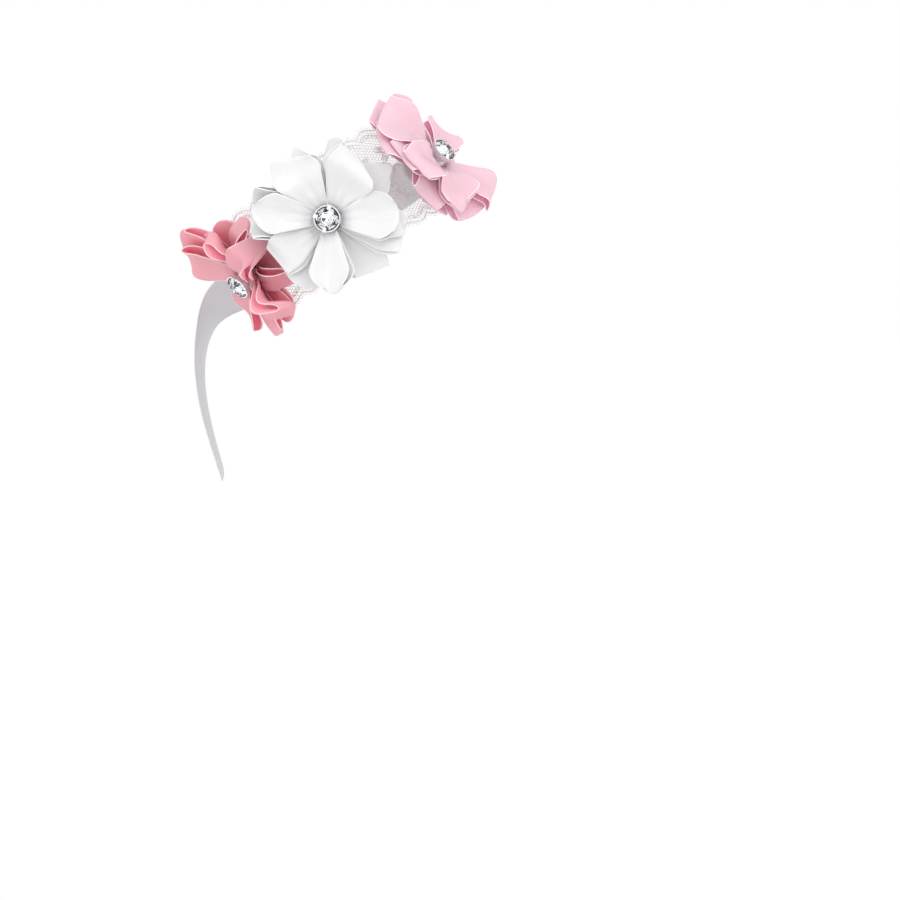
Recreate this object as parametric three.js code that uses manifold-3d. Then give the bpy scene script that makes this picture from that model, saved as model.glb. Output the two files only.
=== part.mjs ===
// Wrist corsage: three satin-ribbon flowers on a lace band that is tied with satin ribbon.
// Millimetres. +Z runs along the wrist towards the elbow, -Y is the back of the wrist,
// -X its thumb side. The origin is the middle of the wrist opening.
import * as THREE from "three";
import { mergeVertices } from "three/addons/utils/BufferGeometryUtils.js";
import { ConvexGeometry } from "three/addons/geometries/ConvexGeometry.js";
import Module from "manifold-3d";

const wasm = await Module();
wasm.setup();

// Wrist opening, and the gap that sewn or seated pieces keep
const WRIST_WIDTH = 55;
const WRIST_DEPTH = 40;
const SEAT_GAP = 0.3;

// Lace band, scalloped and frilled along both edges and drawn in at its sewn ends
const LACE_LENGTH = 82.3;
const LACE_WIDTH = 27;
const LACE_THICKNESS = 0.6;
const LACE_RISE = 1.3;
const LACE_GATHER = 14;
const LACE_END_MARGIN = 1.5;
const SCALLOP_PITCH = 7;
const SCALLOP_DEPTH = 1.5;
const FRILL_WIDTH = 5.1;
const FRILL_HEIGHT = 1.4;
const FRILL_PITCH = 10.3;

// Satin tie ribbon, its knot and its two free ends
const TIE_WIDTH = 12;
const TIE_THICKNESS = 0.5;
const TIE_HEM = 9;
const KNOT_FACING = -150;
const KNOT_LENGTH = 10;
const KNOT_HEIGHT = 7.6;
const KNOT_WIDTH = 13;
const KNOT_RIDGES = 3;
const KNOT_RIDGE_HEIGHT = 0.3;
const LONG_END_SLANT = 5;
const SHORT_END_SLANT = -4;
const SHORT_END_HEADING = 15;

// Flowers: layers of satin ribbon petals sewn round a core that stands on a felt disc
const FELT_RADIUS = 8;
const FELT_THICKNESS = 1.2;
const CORE_RADIUS = 3.2;
const CORE_PLEATS = 10;
const CORE_PLEAT_DEPTH = 0.35;
const CORE_TOP = 0.4;
const FIRST_LAYER_RISE = 0.9;
const LAYER_SPACING = 1.65;
const PETAL_THICKNESS = 0.4;
const ROOT_HALF_WIDTH = 1.3;
const ROOT_HALF_LOOP = 0.5;

// Petal outline, as shares of the reach: where the ribbon is full width and where its tip begins
const PETAL_SHOULDER = 0.65;
const PETAL_TIP = 0.7;
const PETAL_RUN_OUT = 0.75;
const PETAL_FLARE = 0.9;
const PETAL_CORNER_DROP = 0.12;

// Rhinestone in its claw cup
const STONE_DIAMETER = 6.2;
const STONE_TABLE = 3.3;
const STONE_CROWN = 1.1;
const STONE_GIRDLE = 0.3;
const STONE_PAVILION = 2.0;
const STONE_SIDES = 16;
const CUP_WALL = 0.35;
const CUP_FLOOR = 0.4;
const CUP_SHOULDER = 0.8;
const CLAW_COUNT = 4;
const CLAW_WIDTH = 1.0;
const CLAW_ROOT = 0.7;
const CLAW_BULGE = 0.1;
const CLAW_OVERLAP = 0.55;

// Fineness of the curved surfaces
const ARC_STEP = 0.5;
const LACE_STEPS = 66;
const LACE_ROWS = 8;
const PETAL_STEPS = 10;
const PETAL_ROWS = 4;
const FELT_SECTORS = 24;
const CUP_SECTORS = 24;
const WELD = 1e-4;

// Finishes
const WHITE_SATIN = { color: 0xf6f5f3, roughness: 0.38, metalness: 0 };
const ROSE_SATIN = { color: 0xf3b3c3, roughness: 0.38, metalness: 0 };
const BLUSH_SATIN = { color: 0xfac9d8, roughness: 0.38, metalness: 0 };
const LACE_COTTON = { color: 0xf3efec, roughness: 0.85, metalness: 0 };
const WHITE_FELT = { color: 0xefece6, roughness: 0.95, metalness: 0 };
const SILVER_PLATE = { color: 0xc9c9cc, roughness: 0.25, metalness: 1 };
const CUT_GLASS = { color: 0xe9eef2, roughness: 0.05, metalness: 0 };

const radians = THREE.MathUtils.degToRad;
const clamp = THREE.MathUtils.clamp;
const lerp = THREE.MathUtils.lerp;
const ease = (x) => THREE.MathUtils.smoothstep(x, 0, 1);

const corsage = new THREE.Group();

function addPart(parent, name, geometry, finish) {
  const mesh = new THREE.Mesh(geometry, new THREE.MeshStandardMaterial(finish));
  mesh.name = name;
  parent.add(mesh);
  return mesh;
}

// The wrist opening is an ellipse. A facing is the angle of its outward normal,
// from the back of the wrist (-Y) towards the little-finger side (+X).
const HALF_WIDTH = WRIST_WIDTH / 2;
const HALF_DEPTH = WRIST_DEPTH / 2;

function wristStation(facing) {
  const normal = new THREE.Vector3(Math.sin(radians(facing)), -Math.cos(radians(facing)), 0);
  const spread = Math.hypot(HALF_WIDTH * normal.x, HALF_DEPTH * normal.y);
  const point = new THREE.Vector3(HALF_WIDTH ** 2 * normal.x, HALF_DEPTH ** 2 * normal.y, 0);
  return { normal, point: point.divideScalar(spread) };
}

function wristPoint(facing, height, z) {
  const { normal, point } = wristStation(facing);
  return point.addScaledVector(normal, height).setZ(z);
}

// The facing reached from another one by a length along the wrist
function facingAfter(facing, length) {
  let turned = facing;
  let left = Math.abs(length);
  const step = Math.sign(length) * ARC_STEP;
  while (left > 0) {
    const from = wristStation(turned).point;
    const stride = from.distanceTo(wristStation(turned + step).point);
    turned += step * Math.min(1, left / stride);
    left -= stride;
  }
  return turned;
}

// A closed slab between two grids of points, with walls round its edge
function slab(upper, lower) {
  const rows = upper.length;
  const columns = upper[0].length;
  const points = [...upper.flat(), ...lower.flat()];
  const index = [];
  const top = (i, j) => i * columns + j;
  const under = (i, j) => rows * columns + top(i, j);
  const quad = (a, b, c, d) => index.push(a, b, c, a, c, d);
  for (let i = 0; i + 1 < rows; i += 1) {
    for (let j = 0; j + 1 < columns; j += 1) {
      quad(top(i, j), top(i + 1, j), top(i + 1, j + 1), top(i, j + 1));
      quad(under(i, j), under(i, j + 1), under(i + 1, j + 1), under(i + 1, j));
    }
  }
  const last = columns - 1;
  for (let i = 0; i + 1 < rows; i += 1) {
    quad(top(i, 0), under(i, 0), under(i + 1, 0), top(i + 1, 0));
    quad(top(i, last), top(i + 1, last), under(i + 1, last), under(i, last));
  }
  const end = rows - 1;
  for (let j = 0; j + 1 < columns; j += 1) {
    quad(top(0, j), top(0, j + 1), under(0, j + 1), under(0, j));
    quad(top(end, j), under(end, j), under(end, j + 1), top(end, j + 1));
  }
  return outward(new THREE.BufferGeometry().setFromPoints(points).setIndex(index));
}

function volumeOf(geometry) {
  const at = geometry.getAttribute("position");
  const [a, b, c] = [new THREE.Vector3(), new THREE.Vector3(), new THREE.Vector3()];
  let volume = 0;
  for (let i = 0; i < geometry.index.count; i += 3) {
    a.fromBufferAttribute(at, geometry.index.getX(i));
    b.fromBufferAttribute(at, geometry.index.getX(i + 1));
    c.fromBufferAttribute(at, geometry.index.getX(i + 2));
    volume += a.dot(b.cross(c)) / 6;
  }
  return volume;
}

function outward(geometry) {
  if (volumeOf(geometry) < 0) {
    geometry.setIndex([...geometry.index.array].reverse());
  }
  geometry.computeVertexNormals();
  return geometry;
}

// A sheet of cloth: a grid of points given half its thickness to each side
function sheetSlab(grid, thickness) {
  const normalAt = (i, j) => {
    const row = grid.length - 1;
    const column = grid[0].length - 1;
    const along = new THREE.Vector3();
    along.subVectors(grid[Math.min(i + 1, row)][j], grid[Math.max(i - 1, 0)][j]);
    const across = new THREE.Vector3();
    across.subVectors(grid[i][Math.min(j + 1, column)], grid[i][Math.max(j - 1, 0)]);
    return along.cross(across).normalize();
  };
  const side = (offset) =>
    grid.map((line, i) => line.map((point, j) => point.clone().addScaledVector(normalAt(i, j), offset)));
  return slab(side(thickness / 2), side(-thickness / 2));
}

function toSolid(geometry) {
  const bare = geometry.clone();
  bare.deleteAttribute("normal");
  bare.deleteAttribute("uv");
  const merged = mergeVertices(bare, WELD);
  return new wasm.Manifold(
    new wasm.Mesh({
      numProp: 3,
      vertProperties: new Float32Array(merged.getAttribute("position").array),
      triVerts: new Uint32Array(merged.index.array),
    }),
  );
}

function toGeometry(solid) {
  const { vertProperties, triVerts } = solid.getMesh();
  const geometry = new THREE.BufferGeometry();
  geometry.setAttribute("position", new THREE.BufferAttribute(new Float32Array(vertProperties), 3));
  geometry.setIndex([...triVerts]);
  geometry.computeVertexNormals();
  return geometry;
}

// Lace band: a strip round the back of the wrist, drawn in at its sewn ends, with scalloped
// edges that frill outwards. The tie ribbon lies under its two ends.
const LACE_SEAT = TIE_THICKNESS + SEAT_GAP;
const LACE_FACE = LACE_SEAT + LACE_THICKNESS;
const LACE_END_WIDTH = TIE_WIDTH + 2 * LACE_END_MARGIN;

function laceBand() {
  const outer = [];
  const inner = [];
  for (let i = 0; i <= LACE_STEPS; i += 1) {
    const fromLeft = (LACE_LENGTH * i) / LACE_STEPS;
    const along = fromLeft - LACE_LENGTH / 2;
    const facing = facingAfter(0, along);
    const open = ease(Math.min(fromLeft, LACE_LENGTH - fromLeft) / LACE_GATHER);
    const half = lerp(LACE_END_WIDTH, LACE_WIDTH, open) / 2;
    const scallop = SCALLOP_DEPTH * open * Math.abs(Math.sin((Math.PI * along) / SCALLOP_PITCH));
    const wave = (2 * Math.PI * fromLeft) / FRILL_PITCH;
    const outerLine = [];
    const innerLine = [];
    for (let j = 0; j <= LACE_ROWS; j += 1) {
      const across = (2 * j) / LACE_ROWS - 1;
      const edge = clamp(1 - (half * (1 - Math.abs(across))) / FRILL_WIDTH, 0, 1);
      const z = LACE_RISE + across * half + Math.sign(across) * scallop * edge ** 3;
      const frill = FRILL_HEIGHT * open * edge ** 1.5 * (0.5 - 0.5 * Math.cos(wave + across));
      outerLine.push(wristPoint(facing, LACE_FACE + frill, z));
      innerLine.push(wristPoint(facing, LACE_SEAT + frill, z));
    }
    outer.push(outerLine);
    inner.push(innerLine);
  }
  return slab(outer, inner);
}

// A flat ribbon held against the wrist between two facings
function wristRibbon(fromFacing, toFacing, steps) {
  const outer = [];
  const inner = [];
  for (let i = 0; i <= steps; i += 1) {
    const facing = lerp(fromFacing, toFacing, i / steps);
    const line = (height) => [-0.5, 0, 0.5].map((side) => wristPoint(facing, height, side * TIE_WIDTH));
    outer.push(line(TIE_THICKNESS));
    inner.push(line(0));
  }
  return slab(outer, inner);
}

// Knot: a nugget of wrapped ribbon, with the wraps as slanting ridges
const KNOT_SEAT = TIE_THICKNESS + SEAT_GAP;

function knotBody() {
  const geometry = new THREE.SphereGeometry(1, 20, 12);
  const at = geometry.getAttribute("position");
  const point = new THREE.Vector3();
  for (let i = 0; i < at.count; i += 1) {
    point.fromBufferAttribute(at, i);
    const round = Math.atan2(point.z, point.x);
    const belt = 1 - point.y ** 2;
    const ridge = KNOT_RIDGE_HEIGHT * belt * (Math.sin(KNOT_RIDGES * round + 2 * point.y) - 1);
    at.setXYZ(
      i,
      point.x * (KNOT_LENGTH / 2 + ridge),
      point.y * (KNOT_WIDTH / 2),
      point.z * (KNOT_HEIGHT / 2 + ridge),
    );
  }
  geometry.deleteAttribute("normal");
  geometry.deleteAttribute("uv");
  return outward(mergeVertices(geometry, WELD));
}

const knotStation = wristStation(KNOT_FACING);
const knotCentre = wristPoint(KNOT_FACING, KNOT_SEAT + KNOT_HEIGHT / 2, 0);
const knotTangent = new THREE.Vector3(-knotStation.normal.y, knotStation.normal.x, 0);

// Reach of the knot from its centre along a level direction
function knotReach(direction) {
  const along = direction.dot(knotTangent) * (KNOT_LENGTH / 2);
  const outwards = direction.dot(knotStation.normal) * (KNOT_HEIGHT / 2);
  return Math.hypot(along, outwards);
}

// A free ribbon end: a strip in an upright plane through the knot, which leaves the knot on its
// edge and then turns flat as it falls. Points are [run, drop, turn]: the distance from the
// knot's side, the height, and how far the ribbon has turned from upright, in degrees.
function freeRibbon(direction, route, slant) {
  const start = knotReach(direction) + SEAT_GAP;
  const sideways = new THREE.Vector3(0, 0, 1).cross(direction);
  const grid = route.map(([run, drop, turn], i) => {
    const before = route[Math.max(i - 1, 0)];
    const after = route[Math.min(i + 1, route.length - 1)];
    const heading = Math.atan2(after[1] - before[1], after[0] - before[0]);
    const centre = knotCentre.clone().addScaledVector(direction, start + run);
    centre.z += drop;
    const upright = direction.clone().multiplyScalar(-Math.sin(heading));
    upright.z = Math.cos(heading);
    const across = upright.multiplyScalar(Math.cos(radians(turn)));
    across.addScaledVector(sideways, Math.sin(radians(turn)));
    const cut = i === route.length - 1 ? slant : 0;
    const ahead = direction.clone().multiplyScalar(Math.cos(heading));
    ahead.z = Math.sin(heading);
    return [-0.5, 0, 0.5].map((side) =>
      centre.clone().addScaledVector(across, side * TIE_WIDTH).addScaledVector(ahead, side * cut),
    );
  });
  return sheetSlab(grid, TIE_THICKNESS);
}

const LONG_END_ROUTE = [
  [0, 0, 0],
  [6, 0.2, 0],
  [11, 0.4, 8],
  [15.5, 0, 24],
  [19.5, -1.6, 48],
  [23, -4.2, 64],
  [26.3, -7.6, 72],
  [29.4, -11.6, 76],
  [32.2, -16.2, 79],
  [34.7, -21.2, 81],
  [36.8, -26.4, 82],
  [38.6, -31.6, 83],
  [40.2, -36.8, 84],
  [41.7, -41.8, 85],
];
const SHORT_END_ROUTE = [
  [0, 0, 0],
  [4, -0.3, 6],
  [7.4, -1.6, 22],
  [10, -4, 42],
  [11.8, -7, 56],
  [13, -10.4, 64],
  [13.8, -14, 68],
];

// A petal: a length of ribbon that runs out from the core, folds back over itself and returns.
// X is outwards, Z is up the flower's axis, and both ends are pinched narrow at the core.
function petal({ turn, root: height, reach, half, lift, loop, cup, square, curl }, bend) {
  const root = CORE_RADIUS + SEAT_GAP;
  const grid = [];
  for (let i = 0; i <= PETAL_STEPS; i += 1) {
    const along = (Math.PI * i) / PETAL_STEPS;
    const out = Math.sin(along) ** PETAL_RUN_OUT;
    const belly = lerp(ROOT_HALF_LOOP, loop, Math.sin(along));
    const rise = -Math.cos(along) * belly + curl * out ** 2;
    const tip = 1 - (1 - square) * clamp((out - PETAL_TIP) / (1 - PETAL_TIP), 0, 1) ** 2;
    const spread = clamp(out / PETAL_SHOULDER, 0, 1) ** PETAL_FLARE;
    const width = lerp(ROOT_HALF_WIDTH, half, spread) * tip;
    const line = [];
    for (let j = 0; j <= PETAL_ROWS; j += 1) {
      const across = (2 * j) / PETAL_ROWS - 1;
      const point = new THREE.Vector3();
      point.x = (reach - root) * out - PETAL_CORNER_DROP * half * across ** 2 * out ** 4;
      point.y = across * width;
      point.z = rise + cup * across ** 2 * out;
      point.applyAxisAngle(new THREE.Vector3(0, 1, 0), -radians(lift));
      point.x += root;
      point.applyAxisAngle(new THREE.Vector3(0, 0, 1), radians(turn));
      point.z += height + bend(point.x, point.y);
      line.push(point);
    }
    grid.push(line);
  }
  return sheetSlab(grid, PETAL_THICKNESS);
}

// Felt disc, bent to lie on the lace
function feltDisc(facing, z) {
  const low = LACE_FACE + SEAT_GAP;
  const point = (share, angle, height) => {
    const along = FELT_RADIUS * share * Math.cos(angle);
    return wristPoint(facingAfter(facing, along), height, z + FELT_RADIUS * share * Math.sin(angle));
  };
  const face = (height) =>
    [0, 0.5, 1].map((share) =>
      Array.from({ length: FELT_SECTORS }, (_, k) => point(share, (2 * Math.PI * k) / FELT_SECTORS, height)),
    );
  return outward(ringedDisc(face(low + FELT_THICKNESS), face(low)));
}

// A closed disc between two sets of rings, whose first ring is a single point
function ringedDisc(upper, lower) {
  const index = [];
  const points = [];
  const ringSize = upper[0].length;
  const add = (face) => {
    const base = points.length;
    points.push(face[0][0]);
    for (const ring of face.slice(1)) points.push(...ring);
    return (ring, k) => (ring === 0 ? base : base + 1 + (ring - 1) * ringSize + (k % ringSize));
  };
  const top = add(upper);
  const under = add(lower);
  const rim = upper.length - 1;
  for (let k = 0; k < ringSize; k += 1) {
    index.push(top(0, 0), top(1, k), top(1, k + 1));
    index.push(under(0, 0), under(1, k + 1), under(1, k));
    for (let ring = 1; ring < rim; ring += 1) {
      index.push(top(ring, k), top(ring + 1, k), top(ring + 1, k + 1));
      index.push(top(ring, k), top(ring + 1, k + 1), top(ring, k + 1));
      index.push(under(ring, k), under(ring + 1, k + 1), under(ring + 1, k));
      index.push(under(ring, k), under(ring, k + 1), under(ring + 1, k + 1));
    }
    index.push(top(rim, k), under(rim, k), under(rim, k + 1));
    index.push(top(rim, k), under(rim, k + 1), top(rim, k + 1));
  }
  return new THREE.BufferGeometry().setFromPoints(points).setIndex(index);
}

// Core: the pinched ribbon ends, sewn into one pleated stub
const CORE_FOOT = SEAT_GAP + FELT_THICKNESS + SEAT_GAP;
const BOTTOM_ROOT = CORE_FOOT + FIRST_LAYER_RISE;
const MIDDLE_ROOT = BOTTOM_ROOT + LAYER_SPACING;
const UPPER_ROOT = MIDDLE_ROOT + LAYER_SPACING;
const CORE_HEIGHT = UPPER_ROOT + CORE_TOP - CORE_FOOT;

function sewnCore(tilt) {
  const outline = new THREE.Shape();
  const points = CORE_PLEATS * 4;
  for (let i = 0; i < points; i += 1) {
    const angle = (2 * Math.PI * i) / points;
    const radius = CORE_RADIUS - CORE_PLEAT_DEPTH * (0.5 - 0.5 * Math.cos(CORE_PLEATS * angle));
    const place = [radius * Math.cos(angle), radius * Math.sin(angle)];
    if (i === 0) outline.moveTo(...place);
    else outline.lineTo(...place);
  }
  outline.closePath();
  const stub = new THREE.ExtrudeGeometry(outline, { depth: CORE_HEIGHT, steps: 1, bevelEnabled: false });
  const at = stub.getAttribute("position");
  for (let i = 0; i < at.count; i += 1) {
    const slant = at.getZ(i) > CORE_HEIGHT / 2 ? Math.tan(radians(tilt)) * at.getY(i) : 0;
    at.setZ(i, at.getZ(i) + slant);
  }
  return stub;
}

// Rhinestone: a round brilliant with a flat table, a ring of crown faces and a pointed back.
// The crown's middle ring bulges a little, and the back breaks at half the stone's radius.
const CROWN_BULGE = 0.16;
const CROWN_BREAK = 0.58;
const BACK_BREAK = 0.62;

function rhinestone() {
  const ring = (radius, z, sides, turn) =>
    Array.from({ length: sides }, (_, k) => {
      const angle = (2 * Math.PI * (k + turn)) / sides;
      return new THREE.Vector3(radius * Math.cos(angle), radius * Math.sin(angle), z);
    });
  const girdle = STONE_DIAMETER / 2;
  const table = STONE_TABLE / 2;
  const faces = STONE_SIDES / 2;
  return new ConvexGeometry([
    ...ring(table, STONE_GIRDLE + STONE_CROWN, faces, 0),
    ...ring((girdle + table) / 2 + CROWN_BULGE, STONE_GIRDLE + STONE_CROWN * CROWN_BREAK, faces, 0.5),
    ...ring(girdle, STONE_GIRDLE, STONE_SIDES, 0),
    ...ring(girdle, 0, STONE_SIDES, 0),
    ...ring(girdle / 2, -STONE_PAVILION * BACK_BREAK, faces, 0),
    new THREE.Vector3(0, 0, -STONE_PAVILION),
  ]);
}

// Claw cup: a turned cup round the stone's back, with claws bent over its girdle.
// A claw's inner face lies just inside the wall, so that the two join.
const CUP_INSIDE = STONE_DIAMETER / 2 + SEAT_GAP;
const CUP_RADIUS = CUP_INSIDE + CUP_WALL;
const CUP_DEPTH = STONE_PAVILION + SEAT_GAP;
const CLAW_FACE = CUP_INSIDE + CUP_WALL / 10;

function clawCup() {
  const girdle = STONE_DIAMETER / 2;
  const foot = girdle / 2;
  const profile = [
    [0, -CUP_DEPTH - CUP_FLOOR],
    [foot + CUP_WALL, -CUP_DEPTH - CUP_FLOOR],
    [CUP_RADIUS, -CUP_SHOULDER],
    [CUP_RADIUS, STONE_GIRDLE],
    [CUP_INSIDE, STONE_GIRDLE],
    [CUP_INSIDE, -SEAT_GAP],
    [foot, -CUP_DEPTH],
    [0, -CUP_DEPTH],
  ].map(([radius, z]) => new THREE.Vector2(radius, z));
  let cup = toSolid(new THREE.LatheGeometry(profile, CUP_SECTORS).rotateX(Math.PI / 2));
  const tip = girdle - CLAW_OVERLAP;
  const underTip = STONE_GIRDLE + (STONE_CROWN * CLAW_OVERLAP) / (girdle - STONE_TABLE / 2) + SEAT_GAP;
  const claw = new THREE.Shape();
  claw.moveTo(CUP_RADIUS, -CLAW_ROOT);
  claw.lineTo(CUP_RADIUS + CLAW_BULGE, STONE_GIRDLE + SEAT_GAP);
  claw.lineTo(tip, underTip + CUP_WALL);
  claw.lineTo(tip, underTip);
  claw.lineTo(CLAW_FACE, STONE_GIRDLE + SEAT_GAP / 2);
  claw.lineTo(CLAW_FACE, -CLAW_ROOT);
  claw.closePath();
  const blank = new THREE.ExtrudeGeometry(claw, { depth: CLAW_WIDTH, steps: 1, bevelEnabled: false });
  blank.translate(0, 0, -CLAW_WIDTH / 2).rotateX(Math.PI / 2);
  for (let k = 0; k < CLAW_COUNT; k += 1) {
    const turned = blank.clone().rotateZ((2 * Math.PI * (k + 0.5)) / CLAW_COUNT);
    cup = cup.add(toSolid(turned));
  }
  return toGeometry(cup);
}

// Petals of one layer share their root height and looks, and each has its own turn and shape
const UPPER = { root: UPPER_ROOT, loop: 2.0, cup: 1.5, square: 0.62, curl: 0.4 };
const MIDDLE = { root: MIDDLE_ROOT, loop: 1.2, cup: 0.3, square: 0.94, curl: 0.2 };
const BOTTOM = { root: BOTTOM_ROOT, loop: 1.1, cup: 0.1, square: 0.96, curl: 0 };

// Each flower's bend moves its petals up or down together, so that they follow the wrist's curve
// or stand up beside a neighbour. X is round the wrist and Y along it, from the flower's middle,
// and an arch's rise is what it has reached at BEND_REACH.
const BEND_REACH = 20;
const arch = (x, rise) => rise * (x / BEND_REACH) ** 2;

// The flowers in order: a flower's place is its length along the wrist from the middle of the
// back and its height on the wrist. A petal has its turn about the flower, its reach, half its
// width and its lift from level, in millimetres and degrees.

const FLOWERS = [
  {
    name: "white_flower",
    finish: WHITE_SATIN,
    along: -3,
    z: 0,
    tilt: 0,
    bend: (x) => (x > 0 ? arch(x, -1.5) : arch(x, 2)),
    upper: [
      { turn: -36, reach: 20, half: 6.8, lift: 9 },
      { turn: 32, reach: 21.5, half: 7.4, lift: 13 },
      { turn: 95, reach: 21, half: 7, lift: 10 },
      { turn: 148, reach: 21, half: 6.2, lift: 9 },
      { turn: 243, reach: 20.5, half: 6.2, lift: 7 },
    ],
    middle: [
      { turn: 123, reach: 21.5, half: 6.6, lift: 5 },
      { turn: 182, reach: 21, half: 6.4, lift: 7 },
      { turn: 310, reach: 21.5, half: 7.2, lift: 4 },
    ],
    bottom: [
      { turn: 11, reach: 22.5, half: 7, lift: -1 },
      { turn: 86, reach: 22, half: 7, lift: 1 },
      { turn: 157, reach: 21, half: 6.6, lift: 3 },
      { turn: 213, reach: 19.5, half: 6.6, lift: 2 },
      { turn: 284, reach: 21, half: 7.2, lift: 0 },
    ],
  },
  {
    name: "rose_flower",
    finish: ROSE_SATIN,
    along: -30,
    z: -0.4,
    tilt: 12,
    bend: (x, y) => arch(x, x > 0 ? -9.5 : -8 * (1 - ease(y / 10))) + (y > 0 ? arch(y, 4) : 0),
    upper: [
      { turn: 126, reach: 19.5, half: 6.4, lift: 9 },
      { turn: 70, reach: 18.5, half: 6.4, lift: 12 },
      { turn: 12, reach: 16, half: 6.2, lift: 7 },
      { turn: -50, reach: 18.5, half: 6.6, lift: 9 },
      { turn: 212, reach: 17, half: 6.4, lift: 6 },
    ],
    middle: [
      { turn: 104, reach: 22.5, half: 6.8, lift: 5 },
      { turn: 42, reach: 18.5, half: 6.4, lift: 4 },
      { turn: -22, reach: 18, half: 6.4, lift: 4 },
      { turn: -92, reach: 18.5, half: 7, lift: 4 },
    ],
    bottom: [
      { turn: 148, reach: 19, half: 6.6, lift: 0 },
      { turn: 74, reach: 20, half: 6.6, lift: 0 },
      { turn: -58, reach: 19, half: 6.8, lift: 1 },
      { turn: -128, reach: 18, half: 6.6, lift: 1 },
    ],
  },
  {
    name: "blush_flower",
    finish: BLUSH_SATIN,
    along: 28.8,
    z: -0.6,
    tilt: -6,
    bend: (x) => (x > 0 ? arch(x, -4) : arch(x, -2)),
    upper: [
      { turn: 112, reach: 21.5, half: 7, lift: 9 },
      { turn: 176, reach: 19.5, half: 7.2, lift: 8 },
      { turn: 248, reach: 19.5, half: 6.8, lift: 8 },
      { turn: 302, reach: 20.5, half: 6.8, lift: 9 },
      { turn: 24, reach: 16, half: 6.6, lift: 8 },
    ],
    middle: [
      { turn: 140, reach: 21, half: 7, lift: 4 },
      { turn: 204, reach: 19.5, half: 6.8, lift: 3 },
      { turn: 274, reach: 21.5, half: 6.8, lift: 4 },
      { turn: -18, reach: 17, half: 6.6, lift: 4 },
    ],
    bottom: [
      { turn: 112, reach: 21.5, half: 6.8, lift: 1 },
      { turn: 232, reach: 18.5, half: 6.6, lift: 1 },
      { turn: 312, reach: 21, half: 6.8, lift: 0 },
      { turn: 54, reach: 18, half: 6.8, lift: 0 },
    ],
  },
];

// Each flower's head stands on its felt, and its stone's cup sits on the core's slanting top
const SETTING_FOOT = CORE_FOOT + CORE_HEIGHT + SEAT_GAP;

function flower({ name, finish, along, z, tilt, bend, ...layers }) {
  const facing = facingAfter(0, along);
  addPart(corsage, `${name}_felt`, feltDisc(facing, z), WHITE_FELT);
  const head = new THREE.Group();
  const { normal } = wristStation(facing);
  const up = new THREE.Vector3(0, 0, 1);
  const right = up.clone().cross(normal);
  head.quaternion.setFromRotationMatrix(new THREE.Matrix4().makeBasis(right, up, normal));
  head.position.copy(wristPoint(facing, LACE_FACE, z));
  corsage.add(head);
  addPart(head, `${name}_core`, sewnCore(tilt), finish).position.z = CORE_FOOT;
  const crown = new THREE.Group();
  crown.position.z = SETTING_FOOT;
  crown.rotation.x = radians(tilt);
  head.add(crown);
  addPart(crown, `${name}_claw_cup`, clawCup(), SILVER_PLATE).position.z = CUP_DEPTH + CUP_FLOOR;
  addPart(crown, `${name}_stone`, rhinestone(), CUT_GLASS).position.z = CUP_DEPTH + CUP_FLOOR;
  for (const [layer, looks] of Object.entries({ upper: UPPER, middle: MIDDLE, bottom: BOTTOM })) {
    layers[layer].forEach((shape, k) => {
      const body = petal({ ...looks, ...shape }, bend);
      addPart(head, `${name}_${layer}_petal_${k + 1}`, body, finish);
    });
  }
}

addPart(corsage, "lace_band", laceBand(), LACE_COTTON);
FLOWERS.forEach(flower);

// The tie runs from under each end of the lace to the knot, where its two halves all but meet
const THUMB_HEM = facingAfter(0, TIE_HEM - LACE_LENGTH / 2);
const PALM_HEM = facingAfter(0, LACE_LENGTH / 2 - TIE_HEM);
const thumbMeeting = facingAfter(KNOT_FACING, SEAT_GAP / 2);
const palmMeeting = facingAfter(KNOT_FACING + 360, -SEAT_GAP / 2);
addPart(corsage, "tie_thumb_side", wristRibbon(THUMB_HEM, thumbMeeting, 14), WHITE_SATIN);
addPart(corsage, "tie_palm_side", wristRibbon(PALM_HEM, palmMeeting, 30), WHITE_SATIN);

const upright = new THREE.Vector3(0, 0, 1);
const knotAxes = new THREE.Matrix4().makeBasis(knotTangent, upright, knotTangent.clone().cross(upright));
const knot = addPart(corsage, "tie_knot", knotBody(), WHITE_SATIN);
knot.position.copy(knotCentre);
knot.quaternion.setFromRotationMatrix(knotAxes);

const longEndHeading = new THREE.Vector3(-1, 0, 0);
const shortEndHeading = new THREE.Vector3(1, 0, 0).applyAxisAngle(upright, radians(SHORT_END_HEADING));
const longEnd = freeRibbon(longEndHeading, LONG_END_ROUTE, LONG_END_SLANT);
const shortEnd = freeRibbon(shortEndHeading, SHORT_END_ROUTE, SHORT_END_SLANT);
addPart(corsage, "tie_long_end", longEnd, WHITE_SATIN);
addPart(corsage, "tie_short_end", shortEnd, WHITE_SATIN);

export default corsage;
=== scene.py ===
# %% [markdown]
# # Wrist corsage
# Three satin ribbon flowers are sewn to a lace band, which is tied round the wrist with satin
# ribbon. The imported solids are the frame: they say where each piece is and how large it is. This
# lesson dresses them one after another. It thinks in millimetres, as a maker does, and turns
# every finished piece to metres in its last step.

# %% Load the frame
import math

import bpy
import numpy as np
from mathutils import Matrix, Vector


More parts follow.
